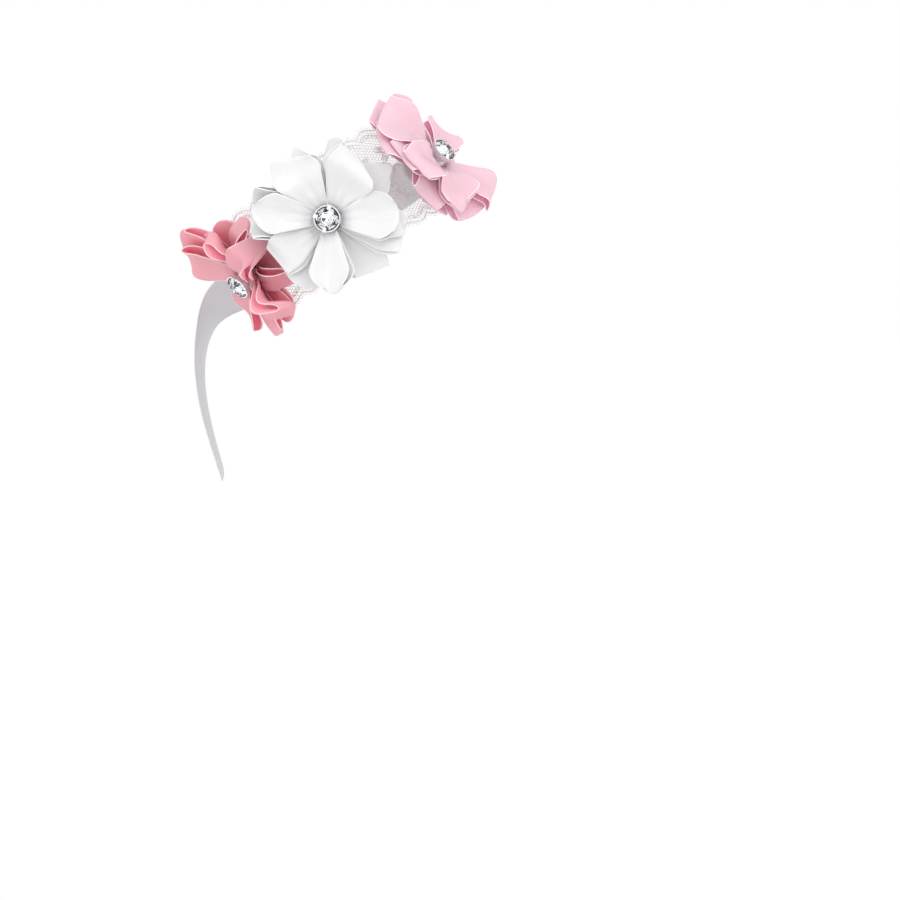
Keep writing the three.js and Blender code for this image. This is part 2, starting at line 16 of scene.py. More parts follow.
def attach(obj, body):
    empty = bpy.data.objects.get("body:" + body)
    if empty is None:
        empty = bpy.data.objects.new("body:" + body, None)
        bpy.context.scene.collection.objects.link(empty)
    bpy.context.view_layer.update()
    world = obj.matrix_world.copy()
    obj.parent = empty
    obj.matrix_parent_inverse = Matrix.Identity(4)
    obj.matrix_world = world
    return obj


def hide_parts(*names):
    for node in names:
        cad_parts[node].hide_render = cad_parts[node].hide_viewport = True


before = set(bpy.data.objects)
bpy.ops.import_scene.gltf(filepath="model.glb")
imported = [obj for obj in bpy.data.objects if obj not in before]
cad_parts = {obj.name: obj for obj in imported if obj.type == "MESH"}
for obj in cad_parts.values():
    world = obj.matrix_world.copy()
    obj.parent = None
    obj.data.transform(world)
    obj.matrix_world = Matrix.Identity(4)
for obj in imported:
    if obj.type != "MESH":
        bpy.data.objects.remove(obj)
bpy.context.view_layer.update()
MM = 0.001
scene = bpy.context.scene
scene.view_settings.view_transform = "Standard"

# %% [markdown]
# ## Camera
# The camera looks straight at the back of the wrist and is rolled, so that the band climbs to the
# right. Three directions describe it better than Euler angles would: the picture's right, its up
# and the way back to the lens. A long lens keeps the flowers' proportions.

# %% Camera
ROLL = math.radians(32.9)
VIEW_WIDTH = 247.5
VIEW_DISTANCE = 900.0
VIEW_MIDDLE = Vector((-10.0, -30.0, -71.7))
SENSOR = 36.0
VIEW_RIGHT = Vector((math.cos(ROLL), 0.0, -math.sin(ROLL)))
VIEW_UP = Vector((math.sin(ROLL), 0.0, math.cos(ROLL)))
VIEW_BACK = Vector((0.0, -1.0, 0.0))


def placed(right, up, back, point):
    """The matrix of an object with these three axes at a point given in millimetres."""
    turned = Matrix((right, up, back)).transposed().to_4x4()
    turned.translation = point * MM
    return turned


def shown(name, data):
    """A new object with this data, linked to the scene."""
    piece = bpy.data.objects.new(name, data)
    scene.collection.objects.link(piece)
    return piece


camera = shown("camera", bpy.data.cameras.new("camera"))
camera.data.sensor_width = SENSOR
camera.data.lens = SENSOR * VIEW_DISTANCE / VIEW_WIDTH
camera.matrix_world = placed(VIEW_RIGHT, VIEW_UP, VIEW_BACK, VIEW_MIDDLE + VIEW_BACK * VIEW_DISTANCE)
scene.camera = camera
print("camera: lens", round(camera.data.lens, 1), "mm")

# %% [markdown]
# ## Small tools
# Colours are written as they would be picked from a screen and turned to the linear values that
# shaders take. Every node in this lesson, in a material or in a shape, is added by one function:
# it sets the node's options, then gives each input a value or a link. A node that is given as a
# value stands for its first output.

# %% Colours and nodes
def linear(code):
    """The linear colour of an sRGB hex code, by the formula of the sRGB standard."""
    parts = [int(code[i:i + 2], 16) / 255 for i in (1, 3, 5)]
    return [p / 12.92 if p <= 0.04045 else ((p + 0.055) / 1.055) ** 2.4 for p in parts] + [1.0]


def give(tree, made, inputs):
    """Gives a node's inputs their values or links."""
    for name, value in inputs.items():
        socket = made.inputs[name]
        for one in value if socket.is_multi_input else [value]:
            if isinstance(one, bpy.types.Node):
                one = one.outputs[0]
            if isinstance(one, bpy.types.NodeSocket):
                tree.links.new(one, socket)
            else:
                socket.default_value = one


def node(tree, kind, inputs=None, **options):
    """A new node with its options set and its inputs given values or links."""
    made = tree.nodes.new(kind)
    for name, value in options.items():
        setattr(made, name, value)
    give(tree, made, inputs or {})
    return made


def finish_of(name, **values):
    """A new material, its node tree and its main shader with these values on its sockets."""
    material = bpy.data.materials.new(name)
    material.use_nodes = True
    tree = material.node_tree
    shader = tree.nodes["Principled BSDF"]
    give(tree, shader, {socket.replace("_", " "): value for socket, value in values.items()})
    return material, tree, shader


# %% [markdown]
# Many finishes have a grain: fibres, twisted strands, polishing marks. A noise of a given size in
# millimetres can drive such a finish's colour between two ends, its gloss between two values, and
# its relief, which has a strength and a depth.

# %% Grained finishes
def grained(name, grain, detail, ends=None, gloss=None, relief=None, **values):
    """A finish whose colour, gloss or relief follow a noise."""
    material, tree, shader = finish_of(name, **values)
    place = node(tree, "ShaderNodeTexCoord").outputs["Object"]
    size = {"Vector": place, "Scale": 1 / (grain * MM), "Detail": detail}
    noise = node(tree, "ShaderNodeTexNoise", size)
    driven = {}
    if ends:
        colours = {0: noise, 6: linear(ends[0]), 7: linear(ends[1])}
        driven["Base Color"] = node(tree, "ShaderNodeMix", colours, data_type="RGBA").outputs[2]
    if gloss:
        spread = {"Value": noise, "To Min": gloss[0], "To Max": gloss[1]}
        driven["Roughness"] = node(tree, "ShaderNodeMapRange", spread)
    if relief:
        lumps = {"Height": noise, "Strength": relief[0], "Distance": relief[1] * MM}
        driven["Normal"] = node(tree, "ShaderNodeBump", lumps)
    give(tree, shader, driven)
    return material


# %% [markdown]
# ## Satin ribbon
# Satin is woven so that long warp threads float on the face. They lie side by side along the
# ribbon, so light runs across them in soft streaks and the cloth is bright where it bends. The
# shader is a dielectric with a low, stretched highlight, a little sheen, and some light let
# through, because the ribbon is thin. The threads are drawn coarser than real ones, which are
# about 0.1 mm apart and would not show. The map named ribbon runs in millimetres, across and along.

# %% Satin
WARP_PITCH = 0.45
WARP_SHARE = 0.18
STREAK_WIDTH = 0.7
STREAK_LENGTH = 14.0
SATIN_RELIEF = 0.03


def satin(name, face, deep, through, share_through):
    """Woven satin: a face colour, a deeper colour in its streaks and the colour let through."""
    material, tree, shader = finish_of(
        name, Roughness=0.32, IOR=1.52, Anisotropic=0.6, Sheen_Weight=0.35, Sheen_Roughness=0.35
    )
    cloth = node(tree, "ShaderNodeUVMap", uv_map="ribbon")
    across = node(tree, "ShaderNodeSeparateXYZ", {"Vector": cloth})
    turns = node(tree, "ShaderNodeMath", {0: across, 1: 2 * math.pi / WARP_PITCH}, operation="MULTIPLY")
    warp = node(tree, "ShaderNodeMath", {0: turns}, operation="SINE")
    drawn = (1 / STREAK_WIDTH, 1 / STREAK_LENGTH, 1.0)
    stretched = node(tree, "ShaderNodeVectorMath", {0: cloth, 1: drawn}, operation="MULTIPLY")
    streak = node(tree, "ShaderNodeTexNoise", {"Vector": stretched, "Scale": 1.0, "Detail": 3.0})
    relief = node(tree, "ShaderNodeMath", {0: warp, 1: WARP_SHARE, 2: streak}, operation="MULTIPLY_ADD")
    bump = node(tree, "ShaderNodeBump", {"Height": relief, "Strength": 0.5, "Distance": SATIN_RELIEF * MM})
    spread = {"Value": streak, "From Min": 0.35, "From Max": 0.8, "To Max": 0.6}
    ends = {0: node(tree, "ShaderNodeMapRange", spread), 6: linear(face), 7: linear(deep)}
    colour = node(tree, "ShaderNodeMix", ends, data_type="RGBA").outputs[2]
    across_warp = node(tree, "ShaderNodeTangent", direction_type="UV_MAP", uv_map="ribbon")
    give(tree, shader, {"Base Color": colour, "Normal": bump, "Tangent": across_warp})
    thin = node(tree, "ShaderNodeBsdfTranslucent", {"Color": linear(through), "Normal": bump})
    both = node(tree, "ShaderNodeMixShader", {0: share_through, 1: shader, 2: thin})
    give(tree, tree.nodes["Material Output"], {"Surface": both})
    return material


WHITE_SATIN = satin("white_satin", "#f4f4f5", "#ededee", "#f6f4f5", 0.15)
# The tie satin is the white satin painted greyer and faintly lavender, as painted shade on the tie, knot and
# hanging ends.
TIE_SATIN_PAINTED_SHADE = satin("white_tie_satin_painted_shade", "#dcdbdf", "#d1d0d5", "#d6d4da", 0.2)
ROSE_SATIN = satin("rose_satin", "#fdd5de", "#f7c6d0", "#ffb6c6", 0.46)
BLUSH_SATIN = satin("blush_satin", "#fff0f7", "#ffe6f0", "#ffc9dd", 0.42)
print("satin:", WHITE_SATIN.name, ROSE_SATIN.name, BLUSH_SATIN.name)

# %% [markdown]
# A ribbon's selvedge is the edge where the weft threads turn back. It is a little thicker and
# tighter than the cloth, so its bead catches the light as a fine bright line round every petal. Its
# colour is also painted a little brighter than the face, as a painted highlight along that line.

# %% Selvedge
SELVEDGE_RIB = 0.5


def selvedge(name, colour):
    """The tight woven edge of a ribbon, ribbed by the weft's turns; brighter than its face as a painted
    highlight.
    """
    return grained(
        name, SELVEDGE_RIB, 1.0, relief=(0.35, 0.05), Base_Color=linear(colour),
        Roughness=0.45, IOR=1.46, Sheen_Weight=0.25, Sheen_Roughness=0.35,
    )


# Each selvedge colour is given a little brighter or paler than its ribbon's face: a painted highlight along
# the edges.
WHITE_EDGE_HIGHLIGHT = selvedge("white_selvedge_painted_highlight", "#f6f6f6")
# The tie's selvedge is painted grey as painted shade, and brighter than the tie's face as a painted
# highlight.
TIE_EDGE_PAINTED_SHADE_AND_HIGHLIGHT = selvedge("white_tie_selvedge_painted_shade_and_highlight", "#e6e4ea")
ROSE_EDGE_HIGHLIGHT = selvedge("rose_selvedge_painted_highlight", "#f6d4dc")
BLUSH_EDGE_HIGHLIGHT = selvedge("blush_selvedge_painted_highlight", "#fff0f6")
print("selvedge:", WHITE_EDGE_HIGHLIGHT.name, ROSE_EDGE_HIGHLIGHT.name, BLUSH_EDGE_HIGHLIGHT.name)

# %% [markdown]
# ## Ribbon as a node tree
# Every satin piece is the same stuff: a strip with two selvedges. So one Geometry Nodes tree turns
# any strip of faces into ribbon. It gives the strip its thickness, half to each side, closes it,
# and runs a round bead along the edges that carry the attribute named selvedge. The shape of each
# strip comes from code, and the tree does what repeats.

# %% Ribbon tree
WELD_DISTANCE = 1e-6
BEAD_SIDES = 6


def new_tree(name, sizes, finishes):
    """A new shape tree with inputs for its sizes and finishes, and its input sockets."""
    tree = bpy.data.node_groups.new(name, "GeometryNodeTree")
    sockets = [("Geometry", "INPUT", "Geometry")] + [(size, "INPUT", "Float") for size in sizes]
    sockets += [(finish, "INPUT", "Material") for finish in finishes]
    for label, way, kind in sockets + [("Geometry", "OUTPUT", "Geometry")]:
        tree.interface.new_socket(label, in_out=way, socket_type="NodeSocket" + kind)
    return tree, node(tree, "NodeGroupInput").outputs


def thread_from(tree, mesh, width, material, sides=4, chosen=True):
    """Adds the nodes that turn a mesh's chosen edges into thread, and gives the last of them."""
    line = node(tree, "GeometryNodeMeshToCurve", {"Mesh": mesh, "Selection": chosen})
    radius = node(tree, "ShaderNodeMath", {0: width, 1: 0.5}, operation="MULTIPLY")
    profile = node(tree, "GeometryNodeCurvePrimitiveCircle", {"Resolution": sides, "Radius": radius})
    spin = {"Curve": line, "Profile Curve": profile, "Fill Caps": True}
    spun = node(tree, "GeometryNodeCurveToMesh", spin)
    smooth = node(tree, "GeometryNodeSetShadeSmooth", {"Geometry": spun, "Shade Smooth": True})
    plain = node(tree, "GeometryNodeRealizeInstances", {"Geometry": smooth})
    return node(tree, "GeometryNodeSetMaterial", {"Geometry": plain, "Material": material})


def ribbon_tree():
    """Strip of faces to satin ribbon with a bead along each selvedge."""
    tree, given = new_tree("satin_ribbon", ["Thickness", "Bead"], ["Cloth", "Edge"])
    strip = given["Geometry"]
    normal = node(tree, "GeometryNodeInputNormal")
    back = node(tree, "ShaderNodeMath", {0: given["Thickness"], 1: -0.5}, operation="MULTIPLY")
    offset = node(tree, "ShaderNodeVectorMath", {0: normal, "Scale": back}, operation="SCALE")
    under = node(tree, "GeometryNodeSetPosition", {"Geometry": strip, "Offset": offset})
    raised = {"Mesh": under, "Offset Scale": given["Thickness"], "Individual": False}
    over = node(tree, "GeometryNodeExtrudeMesh", raised)
    turned = node(tree, "GeometryNodeFlipFaces", {"Mesh": under})
    closed = node(tree, "GeometryNodeJoinGeometry", {"Geometry": [over, turned]})
    welded = node(tree, "GeometryNodeMergeByDistance", {"Geometry": closed, "Distance": WELD_DISTANCE})
    cloth = node(tree, "GeometryNodeSetMaterial", {"Geometry": welded, "Material": given["Cloth"]})
    marked = node(tree, "GeometryNodeInputNamedAttribute", {"Name": "selvedge"}, data_type="BOOLEAN")
    edge = thread_from(tree, strip, given["Bead"], given["Edge"], BEAD_SIDES, marked)
    whole = node(tree, "GeometryNodeJoinGeometry", {"Geometry": [cloth, edge]})
    smooth = node(tree, "GeometryNodeSetShadeSmooth", {"Geometry": whole, "Shade Smooth": True})
    plain = node(tree, "GeometryNodeRealizeInstances", {"Geometry": smooth})
    node(tree, "NodeGroupOutput", {"Geometry": plain})
    return tree


RIBBON = ribbon_tree()
print("ribbon tree:", len(RIBBON.nodes), "nodes")

# %% [markdown]
# A tree is put on an object as a modifier. Its inputs are set by their identifiers, the object is
# evaluated once, and the result becomes a plain mesh, because the export keeps no instances.

# %% Grow a mesh from a tree
def grown(name, mesh, tree, values):
    """A new object holding the plain mesh that a tree makes from a mesh."""
    piece = shown(name, mesh)
    modifier = piece.modifiers.new(tree.name, "NODES")
    modifier.node_group = tree
    for socket in tree.interface.items_tree:
        if socket.in_out == "INPUT" and socket.name in values:
            modifier[socket.identifier] = values[socket.name]
    depsgraph = bpy.context.evaluated_depsgraph_get()
    made = bpy.data.meshes.new_from_object(
        piece.evaluated_get(depsgraph), preserve_all_data_layers=True, depsgraph=depsgraph
    )
    piece.modifiers.remove(modifier)
    piece.data = made
    made.name = name
    return piece


def lengths_along(points):
    """The length of a line of points, up to each of them."""
    steps = np.linalg.norm(np.diff(points, axis=0), axis=1)
    return np.concatenate([[0.0], np.cumsum(steps)])


def strip_mesh(name, grid, half_width):
    """A strip of faces from rows of points in millimetres, mapped and marked as ribbon."""
    rows, columns = grid.shape[:2]
    corner = np.arange(rows * columns).reshape(rows, columns)
    around = [corner[:-1, :-1], corner[1:, :-1], corner[1:, 1:], corner[:-1, 1:]]
    quads = np.stack(around, axis=-1).reshape(-1, 4)
    mesh = bpy.data.meshes.new(name)
    mesh.from_pydata((grid.reshape(-1, 3) * MM).tolist(), [], quads.tolist())
    along = lengths_along(grid[:, columns // 2])
    across = np.linspace(-half_width, half_width, columns)
    flat = np.stack(np.meshgrid(across, along), axis=-1).reshape(-1, 2)[quads.reshape(-1)]
    mesh.uv_layers.new(name="ribbon").data.foreach_set("uv", flat.astype(np.float32).ravel())
    ends = np.empty(len(mesh.edges) * 2, dtype=np.int32)
    mesh.edges.foreach_get("vertices", ends)
    column = ends.reshape(-1, 2) % columns
    sides = (column[:, 0] == column[:, 1]) & ((column[:, 0] == 0) | (column[:, 0] == columns - 1))
    mesh.attributes.new("selvedge", "BOOLEAN", "EDGE").data.foreach_set("value", sides)
    return mesh, float(along[-1])


RIBBON_THICKNESS = 0.26
BEAD_WIDTH = 0.32


def ribbon(name, grid, half_width, cloth, edge):
    """A finished ribbon from rows of points, and its length in millimetres."""
    mesh, length = strip_mesh(name, grid, half_width)
    values = {"Thickness": RIBBON_THICKNESS * MM, "Bead": BEAD_WIDTH * MM, "Cloth": cloth, "Edge": edge}
    return grown(name, mesh, RIBBON, values), length


def settle(piece, body, slot, *nodes):
    """Lets a finished piece ride on its body and stand for its solids; its slot is not used."""
    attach(piece, body)
    if nodes:
        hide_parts(*nodes)


# %% [markdown]
# ## The wrist
# Everything is laid on an ellipse 55 by 40 mm. A facing is the angle of the ellipse's outward
# normal, from the back of the wrist towards the blush flower's side. A table of lengths along the
# ellipse gives the facing for any distance from the middle of the back.

# %% Wrist
WRIST_HALF_WIDTH = 27.5
WRIST_HALF_DEPTH = 20.0


def wrist_point(facing, height, z):
    """Points at these facings, in radians, at a height off the wrist and a place along it."""
    out_x, out_y = np.sin(facing), -np.cos(facing)
    spread = np.hypot(WRIST_HALF_WIDTH * out_x, WRIST_HALF_DEPTH * out_y)
    x = out_x * (WRIST_HALF_WIDTH ** 2 / spread + height)
    y = out_y * (WRIST_HALF_DEPTH ** 2 / spread + height)
    return np.stack(np.broadcast_arrays(x, y, z), axis=-1).astype(float)


FACING_FROM, FACING_TO, FACING_COUNT = -200, 260, 9201
FACINGS = np.radians(np.linspace(FACING_FROM, FACING_TO, FACING_COUNT))
LENGTHS = lengths_along(wrist_point(FACINGS, 0, 0))
LENGTHS -= np.interp(0.0, FACINGS, LENGTHS)


def facing_at(along):
    """The facing at a length along the wrist from the middle of its back."""
    return np.interp(along, LENGTHS, FACINGS)


def eased(x):
    """A smooth step from 0 to 1."""
    x = np.clip(x, 0, 1)
    return x * x * (3 - 2 * x)


print("wrist: round", round(float(np.interp(math.pi, FACINGS, LENGTHS) * 2), 1), "mm")

# %% [markdown]
# ## Petals
# A petal is a short length of ribbon. Both ends are pinched at the flower's core, and the strip
# runs out, folds over in a hairpin and comes back on top. Cloth simulation could crease such a
# loop, but a rule gives the same fold each time. The rule adds what a plain fold lacks: pleats that
# spread from the pinched root, a hollow in the upper run like a spoon's, and a little twist. Most
# petals lie where their solids are. A few are turned or rolled some millimetres away from theirs,
# as the real ones lie.

# %% Petal rule
CORE_RADIUS = 3.2
SEAT_GAP = 0.3
ROOT_HALF_WIDTH = 1.9
ROOT_HALF_LOOP = 0.5
PETAL_SHOULDER = 0.65
PETAL_TIP = 0.7
PETAL_RUN_OUT = 0.75
PETAL_FLARE = 0.9
PETAL_ROWS = 64
PETAL_COLUMNS = 22
ROLL_END = 0.85
ROLL_RAISE = 0.5
POINT_FROM = 0.2
POINT_DRAW = 0.9
POINT_TAPER = 0.4
POINT_BOW = 0.6
HOLLOW_FROM = 0.2
PLEATS = 3
PLEAT_DEPTH = 0.25
PLEAT_START = 0.12
PLEAT_END = 0.6
PLEAT_SHIFT = 2.5
RIPPLES = 3
RIPPLE_DEPTH = 0.25
BEND_REACH = 20.0
chance = np.random.default_rng(7)


def petal_grid(shape, look, bend):
    """Rows of points of one petal, round its flower's axis."""
    turn, reach, half, lift, roll, point, skew, slip = shape
    run = np.linspace(0, np.pi, PETAL_ROWS + 1)[:, None]
    across = np.linspace(-1, 1, PETAL_COLUMNS + 1)[None, :]
    phase, wave, _ = chance.uniform(-1, 1, 3)
    out = np.clip(np.sin(run), 0, 1) ** PETAL_RUN_OUT
    belly = ROOT_HALF_LOOP + (look["loop"] - ROOT_HALF_LOOP) * np.sin(run)
    upper = np.clip(-np.cos(run), 0, 1)
    pointed = max(point - POINT_FROM, 0)
    blunt = look["square"] - POINT_DRAW * pointed
    narrowing = PETAL_TIP - POINT_TAPER * pointed
    tip = 1 - (1 - blunt) * np.clip((out - narrowing) / (1 - narrowing), 0, 1) ** 2
    spread = np.clip(out / PETAL_SHOULDER, 0, 1) ** PETAL_FLARE
    width = (ROOT_HALF_WIDTH + (half - ROOT_HALF_WIDTH) * spread) * tip
    root = CORE_RADIUS + SEAT_GAP
    x = (reach - root) * out + half * out ** 4 * (skew * across - POINT_BOW * point * across ** 2)
    y = across * width - np.tan(np.radians(slip)) * np.cos(run) * x
    z = -np.cos(run) * belly + look["curl"] * out ** 2 + look["cup"] * across ** 2 * out
    dished = np.clip((out - HOLLOW_FROM) / (1 - HOLLOW_FROM), 0, 1)
    z = z - look["hollow"] * upper * np.sin(np.pi * dished) * (1 - across ** 2) ** 2
    fade = np.clip(1 - out / PLEAT_END, 0, 1) * np.clip(out / PLEAT_START, 0, 1)
    z = z + PLEAT_DEPTH * fade * np.cos(np.pi * PLEATS * across + PLEAT_SHIFT * phase)
    z = z + RIPPLE_DEPTH * wave * across * out * np.sin(RIPPLES * np.pi * out + phase)
    twist = np.radians(roll) * eased(out / ROLL_END)
    y, z = y * np.cos(twist) - z * np.sin(twist), y * np.sin(twist) + z * np.cos(twist)
    z = z + ROLL_RAISE * half * np.abs(np.sin(twist))
    slope = np.radians(lift)
    far, high = x * np.cos(slope) - z * np.sin(slope) + root, x * np.sin(slope) + z * np.cos(slope)
    heading = np.radians(turn)
    right = far * np.cos(heading) - y * np.sin(heading)
    up = far * np.sin(heading) + y * np.cos(heading)
    return np.stack([right, up, high + look["root"] + bend(right, up)], axis=-1)


def arch(x, rise):
    """A bend that has risen this much at the bend's reach."""
    return rise * (x / BEND_REACH) ** 2


print("petal grid:", PETAL_ROWS, "by", PETAL_COLUMNS)

# %% [markdown]
# Petals lie on each other. So the flower is built from the lace up, and a height map keeps the top
# of all that is already there. Where a new petal would lie in it, the petal is raised, most along
# the side that is held up and less across its width, as a stiff little loop of ribbon would be.

# %% Resting rule
MAP_CELL = 0.3
MAP_HALF = 30.0
MAP_SIDE = int(2 * MAP_HALF / MAP_CELL) + 1
REST_GAP = 0.45
REST_PASSES = 16
REST_SMOOTHING = 4
REST_FROM_ROOT = 0.15
STIFF_FLAT = 1.2
STIFF_ON_EDGE = 4


def map_place(points):
    """The height map's cells at these points."""
    cell = np.clip(np.rint((points[..., :2] + MAP_HALF) / MAP_CELL), 0, MAP_SIDE - 1).astype(int)
    return cell[..., 0], cell[..., 1]


def finer(rows):
    """Rows of points with a row between each two."""
    made = np.empty((2 * len(rows) - 1,) + rows.shape[1:])
    made[::2] = rows
    made[1::2] = (rows[1:] + rows[:-1]) / 2
    return made


def beside(rows):
    """The mean of the rows before and after each row."""
    return (np.roll(rows, 1, axis=0) + np.roll(rows, -1, axis=0)) / 2


def rested(grid, heights, roll):
    """A petal raised to lie on the height map, which then holds this petal too."""
    under = heights[map_place(grid)] + REST_GAP - grid[..., 2]
    need = np.clip(np.maximum(under, under[::-1]), 0, None)
    place = np.linspace(0, 1, grid.shape[1])
    stiff = STIFF_FLAT + STIFF_ON_EDGE * abs(math.sin(math.radians(roll)))
    share = np.clip(1 - np.abs(place[:, None] - place[None, :]) / stiff, 0, 1)
    raised = (need[:, None, :] * share[None]).max(axis=2)
    for _ in range(REST_PASSES):
        raised = np.maximum(raised, beside(raised))
    for _ in range(REST_SMOOTHING):
        raised = (beside(raised) + raised) / 2
    from_root = np.sin(np.linspace(0, np.pi, len(grid)))[:, None]
    grid = grid.copy()
    grid[..., 2] += raised * eased(from_root / REST_FROM_ROOT)
    fine = finer(finer(grid).swapaxes(0, 1)).swapaxes(0, 1)
    np.maximum.at(heights, map_place(fine), fine[..., 2])
    return grid


print("height map:", MAP_SIDE, "cells a side")

# %% [markdown]
# ## Flowers
# Each flower has an upper, a middle and a bottom layer of petals. A petal has its turn about the
# flower, its reach, half its width and its lift from level. The white flower lies open on the back
# of the wrist. The other two lie round its sides, and their petals are plumper loops. The petals of
# a layer are laid in the order of their numbers, unless the flower gives another order.

# %% Layers and flowers
LACE_FACE = 1.4
WHITE_LOOKS = {
    "upper": {"root": 6.0, "loop": 1.4, "cup": 2.0, "square": 0.74, "curl": 0.3, "hollow": 0.9},
    "middle": {"root": 4.35, "loop": 0.9, "cup": 0.6, "square": 0.86, "curl": 0.1, "hollow": 0.3},
    "bottom": {"root": 2.7, "loop": 0.8, "cup": 0.4, "square": 0.88, "curl": 0.0, "hollow": 0.2},
}
PLUMP_LOOKS = {
    "upper": {"root": 6.0, "loop": 2.4, "cup": 1.6, "square": 0.78, "curl": 0.4, "hollow": 1.2},
    "middle": {"root": 4.35, "loop": 1.7, "cup": 0.8, "square": 0.86, "curl": 0.2, "hollow": 0.5},
    "bottom": {"root": 2.7, "loop": 0.9, "cup": 0.4, "square": 0.88, "curl": 0.0, "hollow": 0.2},
}


def white_bend(x, y, right=-1.5, left=2.0):
    """The white flower lies nearly flat, and its left side rises."""
    return arch(x, np.where(x > 0, right, left))


def rose_bend(x, y, right=-9.5, left=-8, level_from=10, top=4.0):
    """The rose flower falls round its side of the wrist, and its top rises."""
    falling = left * (1 - eased(y / level_from))
    return arch(x, np.where(x > 0, right, falling)) + np.where(y > 0, arch(y, top), 0)


def blush_bend(x, y, right=-7.0, left=-2.0):
    """The blush flower falls round its side of the wrist."""
    return arch(x, np.where(x > 0, right, left))


def petal(turn, reach, half, lift, roll=0, point=0.1, skew=0, slip=0):
    """A petal's turn, reach, half width and lift, its roll to one side and the shape of its tip."""
    return turn, reach, half, lift, roll, point, skew, slip


FLOWERS = {
    "white": {
        "along": -3.0, "z": 0.0, "tilt": 0.0, "bend": white_bend, "looks": WHITE_LOOKS,
        "cloth": WHITE_SATIN, "edge": WHITE_EDGE_HIGHLIGHT, "order": {"upper": (2, 3, 1, 4, 5)},
        "upper": [
            petal(-30, 20, 6.4, 9, point=0.3, slip=2),
            petal(30, 19.2, 7.2, 12, roll=-5, skew=0.3, slip=-4),
            petal(90, 20, 6.8, 9, roll=5, point=0.05, skew=0.3, slip=3),
            petal(141, 21, 5.6, 8, roll=-5, point=0.45),
            petal(242, 20.8, 5.5, 7, point=0.5, slip=-4),
        ],
        "middle": [
            petal(127, 21.9, 5.1, 3, roll=-60, point=0.2),
            petal(187, 18.2, 5.2, 2, point=0, slip=-4),
            petal(316, 21, 6.0, 3, point=0, slip=3),
            petal(328, 19.4, 5.4, 4, point=0, skew=-0.3),
        ],
        "bottom": [
            petal(9, 22.7, 6.2, 0, point=0.75),
            petal(83, 22, 5.4, 1, roll=6, point=0.8),
            petal(157, 21.6, 5.1, 2, roll=60, point=0.2),
            petal(213, 20.2, 6.2, 1, point=0.4, slip=4),
            petal(277, 18.7, 5.3, 0, point=0, skew=0.3, slip=4),
            petal(50, 22.6, 5.1, 3, roll=-60, point=0.2),
        ],
    },
    "rose": {
        "along": -30.0, "z": -0.4, "tilt": 12.0, "bend": rose_bend, "looks": PLUMP_LOOKS,
        "cloth": ROSE_SATIN, "edge": ROSE_EDGE_HIGHLIGHT,
        "upper": [
            petal(126, 18.5, 6.4, 6, roll=-10, slip=4),
            petal(64, 17.5, 5.8, 6, roll=-50, point=0.3),
            petal(14, 16.5, 5.4, -6, roll=-34, point=0.4, skew=0.3),
            petal(-46, 19, 5.6, 0, roll=60, point=0.3),
            petal(212, 17, 6.4, 4, slip=-4),
        ],
        "middle": [
            petal(108, 22.5, 6.2, 9, point=0.4, slip=5),
            petal(42, 18.5, 5.6, -5, roll=-50, point=0.2),
            petal(-20, 18, 5.4, -5, roll=62, point=0.3),
            petal(-90, 18, 6.4, 2, roll=15, slip=4),
        ],
        "bottom": [
            petal(146, 19, 6.6, 0, point=0),
            petal(74, 18, 5.4, 0, point=0.4),
            petal(-68, 17, 5.8, 0, roll=15, point=0.3),
            petal(-128, 18, 6.6, 0, point=0),
            petal(10, 14, 6.0, 0),
        ],
    },
    "blush": {
        "along": 28.8, "z": -0.6, "tilt": -6.0, "bend": blush_bend, "looks": PLUMP_LOOKS,
        "cloth": BLUSH_SATIN, "edge": BLUSH_EDGE_HIGHLIGHT, "order": {"upper": (5, 4, 3, 1, 2)},
        "upper": [
            petal(124, 21.5, 6.6, -2, roll=-20, point=0, slip=8),
            petal(182, 18.5, 6.4, -4, roll=10, point=0, slip=3),
            petal(246, 19, 6.0, 0, roll=40, point=0.7),
            petal(294, 20.5, 6.4, 5, roll=16, point=0.1),
            petal(24, 16, 6.6, 0, roll=-20, point=0.3),
        ],
        "middle": [
            petal(145, 20.5, 6.8, -2, roll=10, slip=4),
            petal(210, 17, 5.8, -4, roll=-10, point=0, slip=3),
            petal(268, 19.5, 6.0, 0, roll=24, point=0.2, slip=3),
            petal(-18, 17, 6.6, 0),
            petal(168, 18.5, 6.2, -1, roll=15, point=0),
        ],
        "bottom": [
            petal(112, 21.5, 6.8, -3, roll=5, point=0),
            petal(228, 16, 6.0, -1, roll=-10, point=0),
            petal(308, 19, 6.4, 2, point=0),
            petal(54, 18, 6.8, 0, point=0),
        ],
    },
}


def on_flower(flower, points):
    """Points round a flower's axis, put where the flower sits on the wrist."""
    facing = facing_at(flower["along"])
    seat = wrist_point(facing, LACE_FACE, flower["z"])
    right = np.array([np.cos(facing), np.sin(facing), 0.0])
    out = np.array([np.sin(facing), -np.cos(facing), 0.0])
    up = np.array([0.0, 0.0, 1.0])
    return seat + points[..., :1] * right + points[..., 1:2] * up + points[..., 2:] * out


# %% Make the petals
for colour, flower in FLOWERS.items():
    heights = np.full((MAP_SIDE, MAP_SIDE), -MAP_HALF)
    for layer in ("bottom", "middle", "upper"):
        for count in flower.get("order", {}).get(layer, range(1, len(flower[layer]) + 1)):
            shape = flower[layer][count - 1]
            half, roll = shape[2], shape[4]
            grid = rested(petal_grid(shape, flower["looks"][layer], flower["bend"]), heights, roll)
            name = f"{colour}_loop_{layer}_{count}"
            loop, length = ribbon(name, on_flower(flower, grid), half, flower["cloth"], flower["edge"])
            solid = f"{colour}_flower_{layer}_petal_{count}"
            settle(loop, "corsage", f"{colour}_satin", *[solid] * (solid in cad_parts))
    print(colour, "petals:", sum(len(flower[layer]) for layer in ("upper", "middle", "bottom")))

